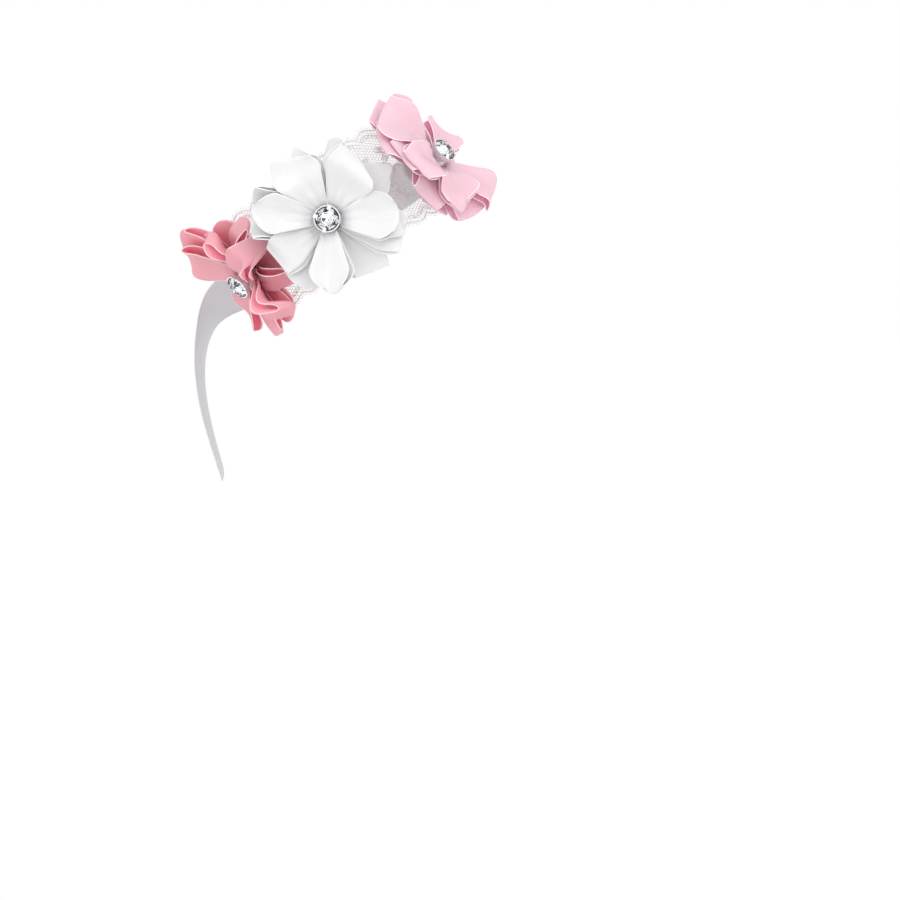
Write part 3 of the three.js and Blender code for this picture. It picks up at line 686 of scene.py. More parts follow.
# %% [markdown]
# ## Cores
# The pinched ribbon ends are drawn together on one thread and sewn to the felt. What shows of them
# is a small pleated stub under the stone. Rings of points whose radius swells and sinks give its
# pleats, and its top slants with the stone.

# %% Core stubs
CORE_FOOT = 1.8
CORE_HEIGHT = 4.6
CORE_PLEATS = 10
CORE_PLEAT_DEPTH = 0.35
CORE_PLEAT_POINTS = 8
CORE_TWIST = 2
CORE_LEVELS = (0, 0, 0.04, 0.3, 0.6, 0.9, 1, 1)
CORE_SHARES = (0, 0.9, 1, 0.93, 0.93, 1, 0.8, 0)


def faced(name, points, faces, *materials, smooth=True):
    """A new object from points in metres and the faces between them."""
    mesh = bpy.data.meshes.new(name)
    mesh.from_pydata(points, [], faces)
    for material in materials:
        mesh.materials.append(material)
    mesh.polygons.foreach_set("use_smooth", [smooth] * len(mesh.polygons))
    return shown(name, mesh)


def ring_mesh(name, rings, material):
    """A closed shape from rings of points in millimetres, its first and last ring being points."""
    rows, columns = rings.shape[:2]
    inner = rings[1:-1].reshape(-1, 3)
    points = np.concatenate([rings[0, :1], inner, rings[-1, :1]]) * MM
    last = len(points) - 1
    faces = []
    for k in range(columns):
        ahead = (k + 1) % columns
        faces.append((0, 1 + ahead, 1 + k))
        for i in range(rows - 3):
            low, high = 1 + i * columns, 1 + (i + 1) * columns
            faces.append((low + k, low + ahead, high + ahead, high + k))
        top = 1 + (rows - 3) * columns
        faces.append((last, top + k, top + ahead))
    return faced(name, points.tolist(), faces, material)


def core_rings(tilt):
    """Rings of a pleated stub, from its foot up."""
    angle = np.linspace(0, 2 * np.pi, CORE_PLEATS * CORE_PLEAT_POINTS, endpoint=False)[None, :]
    level = np.array(CORE_LEVELS)[:, None]
    pleat = CORE_PLEAT_DEPTH * (0.5 - 0.5 * np.cos(CORE_PLEATS * angle + CORE_TWIST * level))
    radius = (CORE_RADIUS - pleat) * np.array(CORE_SHARES)[:, None]
    x, y = radius * np.cos(angle), radius * np.sin(angle)
    z = CORE_FOOT + level * (CORE_HEIGHT + np.tan(np.radians(tilt)) * y)
    return np.stack([x, y, z], axis=-1)


for colour, flower in FLOWERS.items():
    rings = on_flower(flower, core_rings(flower["tilt"]))
    # The stub wears the selvedge finish, whose colour is a painted highlight.
    stub = ring_mesh(f"{colour}_core_ribbon", rings, flower["edge"])
    settle(stub, "corsage", f"{colour}_satin", f"{colour}_flower_core")
print("cores:", len(FLOWERS))

# %% [markdown]
# ## Felt
# A disc of wool felt under each flower spreads the stitches. Felt is pressed fibre with no weave:
# a matt, slightly lumpy face and a soft edge. The disc is bent to the wrist, and its rim is rounded
# and a little uneven, as scissors leave it.

# %% Wool felt
FELT_RADIUS = 8.0
FELT_THICKNESS = 1.2
FELT_FIBRE = 0.35
FELT_POINTS = 72
FELT_SHARES = (0, 0.5, 0.9, 0.985, 1, 0.985, 0.9, 0.5, 0)
FELT_LEVELS = (0, 0, 0, 0.12, 0.5, 0.88, 1, 1, 1)
WOOL_FELT = grained(
    "wool_felt", FELT_FIBRE, 5.0, ends=("#f3f0ea", "#e4dfd7"), relief=(0.8, 0.1),
    Roughness=0.95, Sheen_Weight=0.35, Sheen_Roughness=0.6,
)


def felt_rings(flower):
    """Rings of a felt disc bent to lie on the lace; two small waves make its cut uneven."""
    angle = np.linspace(0, 2 * np.pi, FELT_POINTS, endpoint=False)[None, :]
    share = np.array(FELT_SHARES)[:, None]
    level = np.array(FELT_LEVELS)[:, None]
    uneven = 1 + 0.012 * np.sin(5 * angle + flower["along"]) + 0.006 * np.sin(13 * angle)
    along = flower["along"] + FELT_RADIUS * share * uneven * np.cos(angle)
    z = flower["z"] + FELT_RADIUS * share * uneven * np.sin(angle)
    height = LACE_FACE + SEAT_GAP + FELT_THICKNESS * level + 0 * angle
    return wrist_point(facing_at(along), height, z)


for colour, flower in FLOWERS.items():
    felt = ring_mesh(f"{colour}_felt_disc", felt_rings(flower), WOOL_FELT)
    settle(felt, "corsage", "wool_felt", f"{colour}_flower_felt")
print("felts:", len(FLOWERS), "of", 2 * FELT_RADIUS, "mm")

# %% [markdown]
# ## Lace
# The band is a machine-made lace: a fine hexagonal net, heavier sprigs worked on it, and corded
# scallops with little loops along both edges. It is drawn flat first, as a lace maker would, with
# one tree for each kind of thread. Then every point is laid round the wrist, drawn in at the sewn
# ends and frilled at the edges. The thread is mercerised cotton, soft white with a faint gloss and
# the twist of its strands. It is drawn about twice as thick as real thread, which would vanish at
# this size.

# %% Lace thread
LACE_TWIST = 0.5
LACE_THREAD = grained(
    "mercerised_cotton", LACE_TWIST, 2.0, ends=("#fbf8f7", "#f2ecea"), relief=(0.5, 0.04),
    Roughness=0.6, Sheen_Weight=0.3, Sheen_Roughness=0.5,
)
print("lace thread:", LACE_THREAD.name)

# %% [markdown]
# The net tree lays hexagons on a staggered grid, welds them, cuts them to the scalloped outline and
# turns every edge into thread. A small seeded jitter keeps it from looking drawn with a ruler. Its
# arithmetic is written as a list of sums: a name, an operation, and what it works on.

# %% Net tree
LACE_LENGTH = 82.3
LACE_WIDTH = 27.0
SCALLOP_PITCH = 7.0
SCALLOP_DEPTH = 1.5
NET_SIDE = 0.52
NET_THREAD = 0.16
NET_SUMS = [
    ("stride", "MULTIPLY", "Side", 1.5),
    ("rise", "MULTIPLY", "Side", math.sqrt(3)),
    ("strides", "DIVIDE", "Length", "stride"),
    ("columns", "ROUND", "strides"),
    ("reach", "MULTIPLY_ADD", "Scallop depth", 2.0, "Width"),
    ("rises", "DIVIDE", "reach", "rise"),
    ("rows", "CEIL", "rises"),
    ("Size X", "MULTIPLY", "columns", "stride"),
    ("Size Y", "MULTIPLY", "rows", "rise"),
    ("Vertices X", "ADD", "columns", 1.0),
    ("Vertices Y", "ADD", "rows", 1.0),
    ("strides to x", "DIVIDE", "x", "stride"),
    ("column", "ROUND", "strides to x"),
    ("odd column", "PINGPONG", "column", 1.0),
    ("half rise", "MULTIPLY", "rise", 0.5),
    ("stagger", "MULTIPLY", "odd column", "half rise"),
    ("weld", "MULTIPLY", "Side", 0.1),
    ("scallops to x", "DIVIDE", "x", "Scallop pitch"),
    ("turns", "MULTIPLY", "scallops to x", math.pi),
    ("wave", "SINE", "turns"),
    ("arc", "ABSOLUTE", "wave"),
    ("scallop", "MULTIPLY", "Scallop depth", "arc"),
    ("edge", "MULTIPLY_ADD", "Width", 0.5, "scallop"),
    ("distance y", "ABSOLUTE", "y"),
    ("beyond side", "GREATER_THAN", "distance y", "edge"),
    ("distance x", "ABSOLUTE", "x"),
    ("half length", "MULTIPLY", "Length", 0.5),
    ("beyond end", "GREATER_THAN", "distance x", "half length"),
    ("outside", "MAXIMUM", "beyond side", "beyond end"),
    ("jitter", "MULTIPLY", "Side", 0.12),
]


def net_tree():
    """Hexagonal net cut to a strip with scalloped edges."""
    sizes = ["Length", "Width", "Side", "Thread", "Scallop pitch", "Scallop depth"]
    tree, given = new_tree("lace_net", sizes, ["Cotton"])
    place = node(tree, "GeometryNodeInputPosition")
    x, y, _ = node(tree, "ShaderNodeSeparateXYZ", {0: place}).outputs
    have = {"x": x, "y": y, **{size: given[size] for size in sizes}}
    for name, operation, *values in NET_SUMS:
        inputs = {k: have.get(value, value) for k, value in enumerate(values)}
        have[name] = node(tree, "ShaderNodeMath", inputs, operation=operation)
    extent = {name: have[name] for name in ("Size X", "Size Y", "Vertices X", "Vertices Y")}
    points = node(tree, "GeometryNodeMeshGrid", extent)
    step = node(tree, "ShaderNodeCombineXYZ", {"Y": have["stagger"]})
    staggered = node(tree, "GeometryNodeSetPosition", {"Geometry": points, "Offset": step})
    cell = node(tree, "GeometryNodeMeshCircle", {"Vertices": 6, "Radius": given["Side"]})
    cells = node(tree, "GeometryNodeInstanceOnPoints", {"Points": staggered, "Instance": cell})
    loose = node(tree, "GeometryNodeRealizeInstances", {"Geometry": cells})
    welded = node(tree, "GeometryNodeMergeByDistance", {"Geometry": loose, "Distance": have["weld"]})
    cut = node(tree, "GeometryNodeDeleteGeometry", {"Geometry": welded, "Selection": have["outside"]})
    drawn = {"Min": (-1, -1, 0), "Max": (1, 1, 0), "Seed": 3}
    uneven = node(tree, "FunctionNodeRandomValue", drawn, data_type="FLOAT_VECTOR")
    shift = node(tree, "ShaderNodeVectorMath", {0: uneven, "Scale": have["jitter"]}, operation="SCALE")
    worn = node(tree, "GeometryNodeSetPosition", {"Geometry": cut, "Offset": shift})
    node(tree, "NodeGroupOutput", {"Geometry": thread_from(tree, worn, given["Thread"], given["Cotton"])})
    return tree


NET_SIZES = {
    "Length": LACE_LENGTH * MM, "Width": LACE_WIDTH * MM, "Side": NET_SIDE * MM, "Thread": NET_THREAD * MM,
    "Scallop pitch": SCALLOP_PITCH * MM, "Scallop depth": SCALLOP_DEPTH * MM, "Cotton": LACE_THREAD,
}
lace_net = grown("lace_net", bpy.data.meshes.new("lace_start"), net_tree(), NET_SIZES)
print("net:", len(lace_net.data.polygons), "faces")

# %% [markdown]
# Sprigs are the heavier figures that the lace machine works on the net: leaves in a ring, each
# filled with threads. The tree puts nested ellipses round every point that it is given. Each
# point's own turn and size come from attributes.

# %% Sprig tree
SPRIG_LEAVES = 5
SPRIG_LOOPS = (1.0, 0.62, 0.26)
LEAF_LENGTH = 3.3
LEAF_WIDTH = 1.7
LEAF_MIDDLE = 0.62
LEAF_POINTS = 14
SPRIG_THREAD = 0.26
HUB_RADIUS = 1e-5


def sprig_tree():
    """A five-leaved sprig of nested thread loops on each point."""
    tree, given = new_tree("lace_sprigs", ["Leaf length", "Leaf width", "Thread"], ["Cotton"])
    middle = node(tree, "ShaderNodeMath", {0: given["Leaf length"], 1: LEAF_MIDDLE}, operation="MULTIPLY")
    where = node(tree, "ShaderNodeCombineXYZ", {"X": middle})
    extent = {"X": given["Leaf length"], "Y": given["Leaf width"], "Z": 1.0}
    drawn = node(tree, "ShaderNodeCombineXYZ", extent)
    loops = []
    for share in SPRIG_LOOPS:
        ring = node(tree, "GeometryNodeMeshCircle", {"Vertices": LEAF_POINTS, "Radius": 0.5 * share})
        shaped = {"Geometry": ring, "Translation": where, "Scale": drawn}
        loops.append(node(tree, "GeometryNodeTransform", shaped))
    leaf = node(tree, "GeometryNodeJoinGeometry", {"Geometry": loops})
    hub = node(tree, "GeometryNodeMeshCircle", {"Vertices": SPRIG_LEAVES, "Radius": HUB_RADIUS})
    count = node(tree, "GeometryNodeInputIndex")
    step = 2 * math.pi / SPRIG_LEAVES
    angle = node(tree, "ShaderNodeMath", {0: count, 1: step}, operation="MULTIPLY")
    fan = node(tree, "ShaderNodeCombineXYZ", {"Z": angle})
    fanned = {"Points": hub, "Instance": leaf, "Rotation": fan}
    sprig = node(tree, "GeometryNodeInstanceOnPoints", fanned)
    turn = node(tree, "GeometryNodeInputNamedAttribute", {"Name": "turn"}, data_type="FLOAT")
    size = node(tree, "GeometryNodeInputNamedAttribute", {"Name": "size"}, data_type="FLOAT")
    facing = node(tree, "ShaderNodeCombineXYZ", {"Z": turn})
    strewn = {"Points": given["Geometry"], "Instance": sprig, "Rotation": facing, "Scale": size}
    sprigs = node(tree, "GeometryNodeInstanceOnPoints", strewn)
    threads = node(tree, "GeometryNodeRealizeInstances", {"Geometry": sprigs})
    node(tree, "NodeGroupOutput", {"Geometry": thread_from(tree, threads, given["Thread"], given["Cotton"])})
    return tree


SPRIG_PITCH = 9.4
SPRIG_ROW = 6.6
SPRIG_SHIFT = 0.25
SPRIG_SWAY = 0.6
SPRIG_VARIETY = 0.1
SPRIG_MARGIN = 3
places = []
for row in (-1, 1):
    for k in range(-4, 5):
        x = SPRIG_PITCH * (k + SPRIG_SHIFT * row)
        if abs(x) < LACE_LENGTH / 2 - SPRIG_MARGIN:
            places.append((x, row * SPRIG_ROW + SPRIG_SWAY * math.cos(math.pi * k)))
points = bpy.data.meshes.new("sprig_points")
points.from_pydata([(x * MM, y * MM, 0.0) for x, y in places], [], [])
turns = [0.5 * x + y for x, y in places]
sizes = [1.0 + SPRIG_VARIETY * math.sin(3 * x) for x, y in places]
for name, values in (("turn", turns), ("size", sizes)):
    points.attributes.new(name, "FLOAT", "POINT").data.foreach_set("value", values)
SPRIG_SIZES = {
    "Leaf length": LEAF_LENGTH * MM, "Leaf width": LEAF_WIDTH * MM, "Thread": SPRIG_THREAD * MM,
    "Cotton": LACE_THREAD,
}
lace_sprigs = grown("lace_sprigs", points, sprig_tree(), SPRIG_SIZES)
print("sprigs:", len(places), "with", len(lace_sprigs.data.polygons), "faces")

# %% [markdown]
# Cords follow the scalloped edges, one on the rim and one just inside it, and a vine winds between
# the two rows of sprigs. Along the rim the lace has picots, tiny loops of the cord. The lines are
# drawn by rule, and one tree makes both cord and picots.

# %% Cord tree
CORD_THREAD = 0.42
CORD_POINTS = 420
PICOT_PITCH = 1.5
PICOT_RADIUS = 0.45
PICOT_POINTS = 9
INNER_INSET = 1.5
INNER_PICOT_PITCH = 1.1
INNER_PICOT_RADIUS = 0.5
VINE_SWAY = 2.2


def cord_tree():
    """Cord along every line of a mesh, with picot loops spaced along it."""
    tree, given = new_tree("lace_cord", ["Thread", "Picot pitch", "Picot radius", "Picot thread"], ["Cotton"])
    cord = thread_from(tree, given["Geometry"], given["Thread"], given["Cotton"])
    line = node(tree, "GeometryNodeMeshToCurve", {"Mesh": given["Geometry"]})
    spacing = {"Curve": line, "Length": given["Picot pitch"]}
    spaced = node(tree, "GeometryNodeResampleCurve", spacing, mode="LENGTH")
    side = node(tree, "GeometryNodeInputNamedAttribute", {"Name": "side"}, data_type="FLOAT")
    out = node(tree, "ShaderNodeMath", {0: side, 1: given["Picot radius"]}, operation="MULTIPLY")
    lift = node(tree, "ShaderNodeCombineXYZ", {"Y": out})
    aside = node(tree, "GeometryNodeSetPosition", {"Geometry": spaced, "Offset": lift})
    around = {"Vertices": PICOT_POINTS, "Radius": given["Picot radius"]}
    ring = node(tree, "GeometryNodeMeshCircle", around)
    rings = node(tree, "GeometryNodeInstanceOnPoints", {"Points": aside, "Instance": ring})
    loose = node(tree, "GeometryNodeRealizeInstances", {"Geometry": rings})
    picots = thread_from(tree, loose, given["Picot thread"], given["Cotton"])
    both = node(tree, "GeometryNodeJoinGeometry", {"Geometry": [cord, picots]})
    node(tree, "NodeGroupOutput", {"Geometry": both})
    return tree


def lines_mesh(name, lines):
    """A mesh of open lines; each line is its points in millimetres and its side of the band."""
    mesh = bpy.data.meshes.new(name)
    points, edges, sides = [], [], []
    for line, side in lines:
        first = len(points)
        points += [(x * MM, y * MM, 0.0) for x, y in line]
        edges += [(first + k, first + k + 1) for k in range(len(line) - 1)]
        sides += [float(side)] * len(line)
    mesh.from_pydata(points, edges, [])
    mesh.attributes.new("side", "FLOAT", "POINT").data.foreach_set("value", sides)
    return mesh


station = np.linspace(-LACE_LENGTH / 2, LACE_LENGTH / 2, CORD_POINTS)
rim = LACE_WIDTH / 2 + SCALLOP_DEPTH * np.abs(np.sin(np.pi * station / SCALLOP_PITCH))
CORD = cord_tree()
CORD_SIZES = {
    "Thread": CORD_THREAD * MM, "Picot pitch": PICOT_PITCH * MM, "Picot radius": PICOT_RADIUS * MM,
    "Picot thread": NET_THREAD * MM, "Cotton": LACE_THREAD,
}
INNER_SIZES = {
    **CORD_SIZES, "Thread": SPRIG_THREAD * MM,
    "Picot pitch": INNER_PICOT_PITCH * MM, "Picot radius": INNER_PICOT_RADIUS * MM,
}
rims = [(np.stack([station, side * rim], axis=-1), side) for side in (-1, 1)]
lace_rims = grown("lace_rims", lines_mesh("rim_lines", rims), CORD, CORD_SIZES)
inner = [(np.stack([station, side * (rim - INNER_INSET)], axis=-1), -side) for side in (-1, 1)]
vine = [(np.stack([station, VINE_SWAY * np.sin(2 * np.pi * station / SPRIG_PITCH)], axis=-1), 0)]
lace_inner = grown("lace_inner", lines_mesh("inner_lines", inner + vine), CORD, INNER_SIZES)
print("cords:", len(lace_rims.data.polygons) + len(lace_inner.data.polygons), "faces")

# %% [markdown]
# Now the flat lace is laid round the wrist. Its ends are drawn in to the width of the tie, and its
# edges rise and fall in a frill. The four drawings become one object, since they are one cloth.

# %% Lay the lace
LACE_RISE = 1.3
LACE_GATHER = 14.0
LACE_END_WIDTH = 15.0
LACE_MIDDLE = 1.1
FRILL_WIDTH = 5.1
FRILL_HEIGHT = 1.5
FRILL_PITCH = 10.3
FRILL_RISE = 1.5


def laid(points):
    """Flat lace points in millimetres, laid round the wrist."""
    along, across, lift = points.T
    from_left = np.clip(along + LACE_LENGTH / 2, 0, LACE_LENGTH)
    opened = eased(np.minimum(from_left, LACE_LENGTH - from_left) / LACE_GATHER)
    half = (LACE_END_WIDTH + (LACE_WIDTH - LACE_END_WIDTH) * opened) / 2
    share = across / (LACE_WIDTH / 2)
    edge = np.clip(1 - half * (1 - np.abs(share)) / FRILL_WIDTH, 0, 1)
    wave = 2 * np.pi * from_left / FRILL_PITCH
    frill = FRILL_HEIGHT * opened * edge ** FRILL_RISE * (0.5 - 0.5 * np.cos(wave + np.clip(share, -1, 1)))
    beyond = np.sign(share) * np.clip(np.abs(share) - 1, 0, None) * LACE_WIDTH / 2
    z = LACE_RISE + np.clip(share, -1, 1) * half + beyond * opened
    return wrist_point(facing_at(along), LACE_MIDDLE + frill + lift, z)


def moved(mesh, rule):
    """Moves a mesh's points by a rule that takes and gives millimetres."""
    points = np.empty(len(mesh.vertices) * 3)
    mesh.vertices.foreach_get("co", points)
    mesh.vertices.foreach_set("co", (rule(points.reshape(-1, 3) / MM) * MM).ravel())
    mesh.update()


def as_one(name, pieces, material):
    """One object from several, whose own objects go."""
    points, faces = [], []
    for piece in pieces:
        first = len(points)
        points += [tuple(v.co) for v in piece.data.vertices]
        faces += [tuple(first + k for k in face.vertices) for face in piece.data.polygons]
        bpy.data.objects.remove(piece)
    return faced(name, points, faces, material)


lace = as_one("lace", [lace_net, lace_sprigs, lace_rims, lace_inner], LACE_THREAD)
moved(lace.data, laid)
settle(lace, "corsage", "lace", "lace_band")
print("lace:", len(lace.data.polygons), "faces")

# %% [markdown]
# ## Tie
# A satin ribbon is sewn under each end of the lace and goes round the inner side of the wrist to the
# knot. It lies flat, cups a little across its width, and is drawn into folds as it nears the knot.

# %% Tie ribbons
TIE_HALF = 6.0
TIE_HEM = 9.0
TIE_MIDDLE = 0.25
TIE_ROWS = 121
TIE_COLUMNS = 17
TIE_GATHER = 11.0
TIE_DRAWN_IN = 0.3
TIE_FOLDS = 3
TIE_FOLD_HEIGHT = 0.35
TIE_RIPPLE = 0.06
TIE_RIPPLE_PITCH = 2.1
TIE_CUP = 0.12
KNOT_FACING = math.radians(-150)
KNOT_CLEARANCE = math.radians(0.3)


def tie_grid(start, end):
    """Rows of points of a ribbon on the wrist between two facings, gathered at its end."""
    facing = np.linspace(start, end, TIE_ROWS)
    track = np.interp(facing, FACINGS, LENGTHS)
    left = np.abs(track[-1] - track)[:, None]
    across = np.linspace(-1, 1, TIE_COLUMNS)[None, :]
    opened = eased(left / TIE_GATHER)
    drawn = 1 - TIE_DRAWN_IN * (1 - opened)
    folds = (1 - opened) * TIE_FOLD_HEIGHT * (1 + np.cos(TIE_FOLDS * np.pi * across))
    ripple = TIE_RIPPLE * np.sin(left / TIE_RIPPLE_PITCH + 2 * across) * opened
    height = TIE_MIDDLE + folds + ripple + TIE_CUP * (1 - across ** 2)
    return wrist_point(facing[:, None], height, across * TIE_HALF * drawn)


def tie_ribbon(name, grid, body, solid):
    """A finished piece of the tie, settled on its body."""
    # The tie, the knot and the free ends take the tie satin, which is painted greyer as painted shade.
    piece, length = ribbon(name, grid, TIE_HALF, TIE_SATIN_PAINTED_SHADE, TIE_EDGE_PAINTED_SHADE_AND_HIGHLIGHT)
    settle(piece, body, "white_satin", solid)
    print(name, round(length, 1), "mm")


ENDS = {
    "thumb": (facing_at(TIE_HEM - LACE_LENGTH / 2), KNOT_FACING + KNOT_CLEARANCE),
    "palm": (facing_at(LACE_LENGTH / 2 - TIE_HEM), KNOT_FACING + 2 * math.pi - KNOT_CLEARANCE),
}
for side, (start, end) in ENDS.items():
    tie_ribbon(f"{side}_tie_ribbon", tie_grid(start, end), "corsage", f"tie_{side}_side")

# %% [markdown]
# ## Knot
# The ribbon is wrapped once and a half round itself. The wrap is one more strip: it goes round the
# tie's direction, bulges in its middle, is pinched at its two sides, and creases slant across it.

# %% Knot
KNOT_SEAT = 0.8
KNOT_LENGTH = 10.0
KNOT_HEIGHT = 7.6
KNOT_WIDTH = 13.0
KNOT_TURNS = 1.4
KNOT_ROWS = 110
KNOT_COLUMNS = 25
KNOT_PINCH = 0.985
KNOT_INNER = 0.9
KNOT_SIDE_INNER = 0.96
KNOT_SIDE_GROWTH = 0.02
KNOT_SLANT = 0.6
CREASE_DEPTH = 0.09
CREASES = 2.5
CREASE_SLANT = 1.5
knot_middle = wrist_point(KNOT_FACING, KNOT_SEAT + KNOT_HEIGHT / 2, 0.0)
knot_out = np.array([math.sin(KNOT_FACING), -math.cos(KNOT_FACING), 0.0])
knot_along = np.array([-knot_out[1], knot_out[0], 0.0])
UPRIGHT = np.array([0.0, 0.0, 1.0])


def knot_grid():
    """Rows of points of the ribbon wrapped round the knot."""
    turn = np.linspace(0, 2 * np.pi * KNOT_TURNS, KNOT_ROWS)[:, None]
    across = np.linspace(-1, 1, KNOT_COLUMNS)[None, :]
    wrapped = turn / (2 * np.pi * KNOT_TURNS)
    barrel = np.sqrt(np.clip(1 - (KNOT_PINCH * across) ** 2, 0, 1))
    crease = CREASE_DEPTH * np.abs(np.sin(CREASES * np.pi * across + CREASE_SLANT * turn)) * barrel
    size = barrel * (KNOT_INNER + (1 - KNOT_INNER) * wrapped) - crease
    swing = turn - KNOT_SLANT * across
    out = (size * (KNOT_HEIGHT / 2) * np.sin(swing))[..., None]
    up = (size * (KNOT_WIDTH / 2) * np.cos(swing))[..., None]
    side = (across * (KNOT_LENGTH / 2) * (KNOT_SIDE_INNER + KNOT_SIDE_GROWTH * wrapped))[..., None]
    return knot_middle + out * knot_out + up * UPRIGHT + side * knot_along


tie_ribbon("knot_ribbon", knot_grid(), "corsage", "tie_knot")

# %% [markdown]
# ## Free ends
# Two ends hang from the knot. Each leaves on its edge, fans out in a few folds and turns flat as it
# falls. A smooth curve joins the route's points. The short end keeps the solid's points, and the
# long end falls up to 3 mm further out than its solid, as the real one does. Each root is tucked
# 2 mm into the knot, and the last row is cut on a slant, as ribbon ends are.

# %% Free ends
LONG_ROUTE = [
    (-2, 0, 0), (6, 0.4, 1), (12, 0.8, 12), (17.5, 0.4, 35), (22.3, -1.4, 58), (26.1, -4.1, 71),
    (29.5, -7.5, 77), (32.6, -11.6, 80), (35.3, -16.2, 82), (37.7, -21.2, 83), (39.7, -26.4, 84),
    (41.4, -31.6, 85), (42.9, -36.8, 86), (44.2, -41.4, 87),
]
SHORT_ROUTE = [
    (-2, 0, 0), (4, -0.3, 6), (7.4, -1.6, 22), (10, -4, 42), (11.8, -7, 56), (13, -10.4, 64),
    (13.8, -14, 68),
]
FAN_LENGTH = 16.0
FAN_DRAWN_IN = 0.35
FAN_FOLDS = 4
FAN_FOLD_HEIGHT = 1.1
FAN_SHIFT = 0.6
END_CURL = 0.5


def smooth_route(route, count):
    """Points on a smooth curve through a route's points: how far out, how far down, how turned."""
    rows = np.array(route, dtype=float)
    ends = np.concatenate([[2 * rows[0] - rows[1]], rows, [2 * rows[-1] - rows[-2]]])
    at = np.linspace(0, len(rows) - 1, count)
    first = np.minimum(at.astype(int), len(rows) - 2)
    t = (at - first)[:, None]
    a, b, c, d = (ends[first + k] for k in range(4))
    square = 2 * a - 5 * b + 4 * c - d
    cube = 3 * b - a - 3 * c + d
    return 0.5 * (2 * b + (c - a) * t + square * t ** 2 + cube * t ** 3)


def free_grid(heading, route, slant, count):
    """Rows of points of a free ribbon end that leaves the knot in a level direction."""
    heading = np.array(heading)
    run, drop, turn = smooth_route(route, count).T
    half_along = heading @ knot_along * KNOT_LENGTH / 2
    half_out = heading @ knot_out * KNOT_HEIGHT / 2
    start = math.hypot(half_along, half_out) + SEAT_GAP
    slope = np.arctan2(np.gradient(drop), np.gradient(run))[:, None]
    sideways = np.cross(UPRIGHT, heading)
    centre = knot_middle + (start + run)[:, None] * heading + drop[:, None] * UPRIGHT
    upright = np.cos(slope) * UPRIGHT - np.sin(slope) * heading
    ahead = np.sin(slope) * UPRIGHT + np.cos(slope) * heading
    bent = np.radians(turn)[:, None]
    width = np.cos(bent) * upright + np.sin(bent) * sideways
    face = np.cross(ahead, width)
    across = np.linspace(-1, 1, TIE_COLUMNS)[None, :]
    gone = lengths_along(np.stack([run, drop], axis=-1))[:, None]
    left = gone[-1] - gone
    fan = 1 - eased(gone / FAN_LENGTH)
    aside = across * TIE_HALF * (1 - FAN_DRAWN_IN * fan ** 2)
    folds = FAN_FOLD_HEIGHT * fan * np.cos(FAN_FOLDS * np.pi * across + FAN_SHIFT)
    curl = END_CURL * (1 - fan) * across ** 2
    cut = np.clip(1 - left / (2 * abs(slant)), 0, 1) * across * slant / 2
    grid = centre[:, None, :] + aside[..., None] * width[:, None, :]
    return grid + (folds + curl)[..., None] * face[:, None, :] + cut[..., None] * ahead[:, None, :]


SHORT_HEADING = math.radians(15)
FREE = {
    "long": ((-1.0, 0.0, 0.0), LONG_ROUTE, 5.0, 150),
    "short": ((math.cos(SHORT_HEADING), math.sin(SHORT_HEADING), 0.0), SHORT_ROUTE, -4.0, 60),
}
for side, shape in FREE.items():
    grid = free_grid(*shape)
    tie_ribbon(f"{side}_tail_ribbon", grid, f"{side}_end", f"tie_{side}_end")

# %% [markdown]
# ## Stitches
# Each end of the lace is sewn down on the tie with two short rows of stitches. One tree puts a
# rounded stitch on every point of a line, and the rows are then laid round the wrist with the lace.

# %% Stitches
STITCH_LENGTH = 1.5
STITCH_WIDTH = 0.32
STITCH_LIFT = 0.35
PLY_PITCH = 0.4
PLY_RELIEF = 0.04
HEM_ROWS = (2.0, 7.0)
HEM_PITCH = 2.1


def sewing_thread():
    """Spun polyester: white, a little glossy, with the twist of its two plies."""
    material, tree, shader = finish_of(
        "spun_polyester", Base_Color=linear("#f4f2f1"), Roughness=0.5, Sheen_Weight=0.2
    )
    place = node(tree, "ShaderNodeTexCoord").outputs["Object"]
    twist = {"Vector": place, "Scale": 0.5 / (PLY_PITCH * MM), "Distortion": 1.0}
    plies = node(tree, "ShaderNodeTexWave", twist).outputs["Fac"]
    bump = node(tree, "ShaderNodeBump", {"Height": plies, "Strength": 0.5, "Distance": PLY_RELIEF * MM})
    give(tree, shader, {"Normal": bump})
    return material


def stitch_tree():
    """A rounded stitch on every point."""
    tree, given = new_tree("hem_stitches", ["Length", "Width"], ["Thread"])
    bead = node(tree, "GeometryNodeMeshUVSphere", {"Segments": 8, "Rings": 6, "Radius": 0.5})
    extent = {"X": given["Width"], "Y": given["Length"], "Z": given["Width"]}
    size = node(tree, "ShaderNodeCombineXYZ", extent)
    stitch = node(tree, "GeometryNodeTransform", {"Geometry": bead, "Scale": size})
    row = node(tree, "GeometryNodeInstanceOnPoints", {"Points": given["Geometry"], "Instance": stitch})
    plain = node(tree, "GeometryNodeRealizeInstances", {"Geometry": row})
    smooth = node(tree, "GeometryNodeSetShadeSmooth", {"Geometry": plain, "Shade Smooth": True})
    sewn = node(tree, "GeometryNodeSetMaterial", {"Geometry": smooth, "Material": given["Thread"]})
    node(tree, "NodeGroupOutput", {"Geometry": sewn})
    return tree


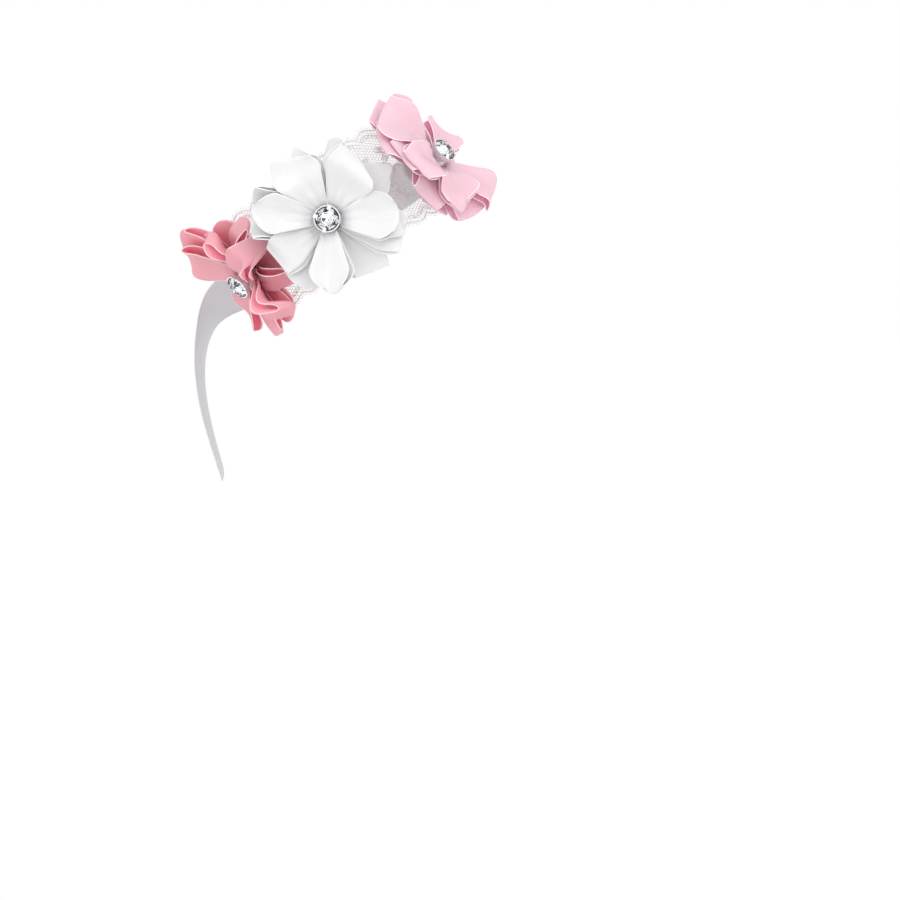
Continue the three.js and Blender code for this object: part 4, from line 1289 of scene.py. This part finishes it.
widened = LACE_WIDTH / LACE_END_WIDTH
starts = [side * (LACE_LENGTH / 2 - row) for side in (-1, 1) for row in HEM_ROWS]
spots = [(x, k * HEM_PITCH * widened, STITCH_LIFT) for x in starts for k in range(-2, 3)]
line = bpy.data.meshes.new("hem_points")
line.from_pydata((np.array(spots) * MM).tolist(), [], [])
STITCH_SIZES = {
    "Length": STITCH_LENGTH * widened * MM, "Width": STITCH_WIDTH * MM, "Thread": sewing_thread(),
}
stitches = grown("hem_stitches", line, stitch_tree(), STITCH_SIZES)
moved(stitches.data, laid)
settle(stitches, "corsage", "lace")
print("stitches:", len(spots))

# %% [markdown]
# ## Rhinestones
# A rhinestone is pressed glass with a foil on its back. Light goes in through the crown, is
# mirrored by the foil's facets and comes out white or dark, depending on what each facet sees. So
# the crown is clear glass with faint polishing marks, and the back's faces are silver foil, some of
# them painted dark as painted dark reflections. The cut is the solid's: a table, star faces, kites,
# and pairs of faces at the girdle. The claw cups are stamped brass with silver plate, which is
# duller than foil and mirrors its surroundings softly.

# %% Glass and foil
POLISH_MARKS = 1.2
LEAD_GLASS = grained(
    "lead_glass", POLISH_MARKS, 2.0, gloss=(0.0, 0.05),
    Base_Color=linear("#fbfdff"), IOR=1.56, Transmission_Weight=1.0,
)


def metal(name, bright, dull, smooth, rough, grain):
    """A metal finish whose colour and gloss vary over a grain given in millimetres."""
    return grained(name, grain, 4.0, (bright, dull), (smooth, rough), (0.1, 0.02), Metallic=1.0)


SILVER_FOIL = metal("silver_foil", "#f4f5f6", "#e6e7e9", 0.02, 0.08, 0.8)
SILVER_PLATE = metal("silver_plate", "#f0f0f1", "#dcdcdf", 0.25, 0.45, 0.6)
# A dark foil for some pavilion faces: painted dark reflection, so that the stone shows dark facets in any
# light.
DARK_REFLECTION_FOIL = metal("painted_dark_reflection_foil", "#45474b", "#2b2d31", 0.04, 0.12, 0.8)
print("stone finishes:", LEAD_GLASS.name, SILVER_FOIL.name, SILVER_PLATE.name)

# %% [markdown]
# The stone's points lie on rings. Its faces are listed ring by ring, and the ones below the girdle
# take the foil; one in five of them takes a dark foil, a painted dark reflection.

# %% Stones
STONE_RADIUS = 3.1
STONE_TABLE = 1.65
STONE_CROWN = 1.1
STONE_GIRDLE = 0.3
STONE_PAVILION = 2.0
STONE_SEAT = 9.4
CROWN_BULGE = 0.16
CROWN_BREAK = 0.58
STONE_BREAK = (STONE_RADIUS + STONE_TABLE) / 2 + CROWN_BULGE
BACK_BREAK = 0.62
DARK_REFLECTION_EVERY = 5
TILT_PIVOT = 6.7


def ring(radius, z, sides, turn):
    """Points of a level ring."""
    angle = 2 * np.pi * (np.arange(sides) + turn) / sides
    return np.stack([radius * np.cos(angle), radius * np.sin(angle), np.full(sides, z)], axis=-1)


def brilliant():
    """Points and faces of a round brilliant, and which faces are its back."""
    points = np.concatenate([
        ring(STONE_TABLE, STONE_GIRDLE + STONE_CROWN, 8, 0),
        ring(STONE_BREAK, STONE_GIRDLE + STONE_CROWN * CROWN_BREAK, 8, 0.5),
        ring(STONE_RADIUS, STONE_GIRDLE, 16, 0),
        ring(STONE_RADIUS, 0.0, 16, 0),
        ring(STONE_RADIUS / 2, -STONE_PAVILION * BACK_BREAK, 8, 0),
        [[0.0, 0.0, -STONE_PAVILION]],
    ])
    table, star, top, low, back, culet = 0, 8, 16, 32, 48, 56
    crown, pavilion = [tuple(range(8))], []
    for k in range(8):
        ahead, behind = (k + 1) % 8, (k - 1) % 8
        even, odd, following = 2 * k, 2 * k + 1, (2 * k + 2) % 16
        crown.append((table + k, star + k, table + ahead))
        crown.append((table + k, star + behind, top + even))
        crown.append((table + k, top + even, star + k))
        crown.append((star + k, top + even, top + odd))
        crown.append((star + k, top + odd, top + following))
        crown.append((top + even, low + even, low + odd, top + odd))
        crown.append((top + odd, low + odd, low + following, top + following))
        pavilion.append((low + even, back + k, low + odd))
        pavilion.append((low + odd, back + k, back + ahead))
        pavilion.append((low + odd, back + ahead, low + following))
        pavilion.append((back + k, culet, back + ahead))
    return points, crown, pavilion


def on_setting(flower, points):
    """Points round the stone's axis, tilted and put on top of the flower's core."""
    slope = np.radians(flower["tilt"])
    x, y, z = points.T
    raised = z + STONE_SEAT - TILT_PIVOT
    over = y * np.cos(slope) - raised * np.sin(slope)
    high = y * np.sin(slope) + raised * np.cos(slope) + TILT_PIVOT
    return on_flower(flower, np.stack([x, over, high], axis=-1))


points, crown, pavilion = brilliant()
# One pavilion face in five takes the dark foil, as painted dark reflection.
foil = [1 if k % DARK_REFLECTION_EVERY else 2 for k in range(len(pavilion))]
for colour, flower in FLOWERS.items():
    stone = faced(
        f"{colour}_rhinestone", (on_setting(flower, points) * MM).tolist(), crown + pavilion,
        LEAD_GLASS, SILVER_FOIL, DARK_REFLECTION_FOIL, smooth=False,
    )
    stone.data.polygons.foreach_set("material_index", [0] * len(crown) + foil)
    settle(stone, "corsage", "cut_glass", f"{colour}_flower_stone")
print("stones:", len(FLOWERS), "with", len(crown) + len(pavilion), "faces each")

# %% Claw cups
for colour in FLOWERS:
    cup = bpy.data.objects[f"{colour}_flower_claw_cup"]
    for slot in cup.material_slots:
        slot.material = SILVER_PLATE
print("cups:", len(FLOWERS))

# %% [markdown]
# ## Light
# One large soft light stands above the camera and to its right, a larger and softer one fills from
# the left, and the white surroundings do the rest. The lamps are kept at a level at which a colour
# comes out about as it is written. The room is white to the camera and to mirrors, but lights the
# object a little less. Dark cards outside the picture give the stones something dark to mirror.

# %% World and lamps
AMBIENT = 0.92
KEY_POWER = 2.6
KEY_WIDTH = 500
FILL_POWER = 2.0
FILL_WIDTH = 900
LAMP_DISTANCE = 1000
PURE_WHITE = (1.0, 1.0, 1.0, 1.0)


def seen_by(tree):
    """1 for the camera, for mirrors and through glass, and 0 for other light."""
    path = node(tree, "ShaderNodeLightPath").outputs
    rays = {0: path["Is Camera Ray"], 1: path["Is Glossy Ray"]}
    straight = node(tree, "ShaderNodeMath", rays, operation="MAXIMUM")
    rays = {0: straight, 1: path["Is Transmission Ray"]}
    return node(tree, "ShaderNodeMath", rays, operation="MAXIMUM")


def surroundings():
    """White to the camera, to mirrors and through glass, and a soft light to everything else."""
    world = bpy.data.worlds.new("white_room")
    world.use_nodes = True
    tree = world.node_tree
    spread = {"Value": seen_by(tree), "To Min": AMBIENT, "To Max": 1.0}
    strength = node(tree, "ShaderNodeMapRange", spread)
    give(tree, tree.nodes["Background"], {"Strength": strength, "Color": PURE_WHITE})
    return world


def towards(right, up, back):
    """The direction that has these shares of the picture's right, its up and the way to the lens."""
    return (VIEW_RIGHT * right + VIEW_UP * up + VIEW_BACK * back).normalized()


def lamp(name, power, width, away):
    """A square soft lamp that faces the corsage from a direction."""
    light = shown(name, bpy.data.lights.new(name, "AREA"))
    light.data.energy = power
    light.data.size = width * MM
    light.location = away * LAMP_DISTANCE * MM
    light.rotation_mode = "QUATERNION"
    light.rotation_quaternion = away.to_track_quat("Z", "Y")
    light.visible_camera = False


scene.world = surroundings()
lamp("key_lamp", KEY_POWER, KEY_WIDTH, towards(0.45, 0.75, 0.85))
lamp("fill_lamp", FILL_POWER, FILL_WIDTH, towards(-0.8, 0.1, 0.8))
print("lamps:", KEY_POWER, "and", FILL_POWER, "W")

# %% [markdown]
# The floor is a wide pale sheet well below the corsage. To the camera it glows a little, so that it
# comes out white where it is lit, and it still takes the shadow.

# %% Floor and cards
FLOOR_DROP = 260.0
FLOOR_SIZE = 6000.0
FLOOR_GLOW = 0.5
CARD_SIZE = 170
CARD_DISTANCE = 420
CARD_BLACK = (0.004, 0.004, 0.004, 1.0)
CARDS = [(-0.5, 0.5, 0.9), (0.75, -0.2, 0.8), (-0.15, -0.7, 0.9), (0.9, 0.9, 0.35)]


def sheet_object(name, size, matrix, material):
    """A flat square, which isn't part of the object."""
    half = size / 2 * MM
    corners = [(-half, -half, 0), (half, -half, 0), (half, half, 0), (-half, half, 0)]
    made = faced(name, corners, [(0, 1, 2, 3)], material, smooth=False)
    made.matrix_world = matrix
    return made


def pale_floor():
    """Matt pale paint that the camera sees as white where it is lit."""
    material, tree, shader = finish_of(
        "pale_floor", Base_Color=linear("#eeeeee"), Roughness=0.9, Specular_IOR_Level=0.0,
        Emission_Color=PURE_WHITE,
    )
    glow = node(tree, "ShaderNodeMath", {0: seen_by(tree), 1: FLOOR_GLOW}, operation="MULTIPLY")
    give(tree, shader, {"Emission Strength": glow})
    return material


sheet_object("floor", FLOOR_SIZE, Matrix.Translation((0, 0, -FLOOR_DROP * MM)), pale_floor())
CARD = finish_of("black_card", Base_Color=CARD_BLACK, Roughness=1.0, Specular_IOR_Level=0.0)[0]
for count, shares in enumerate(CARDS, 1):
    away = towards(*shares)
    across = away.cross(Vector((0, 0, 1))).normalized()
    matrix = placed(across, away.cross(across) * -1, away, away * CARD_DISTANCE)
    card = sheet_object(f"dark_card_{count}", CARD_SIZE, matrix, CARD)
    card.visible_camera = False
    card.visible_diffuse = False
    card.visible_shadow = False
print("cards:", len(CARDS))
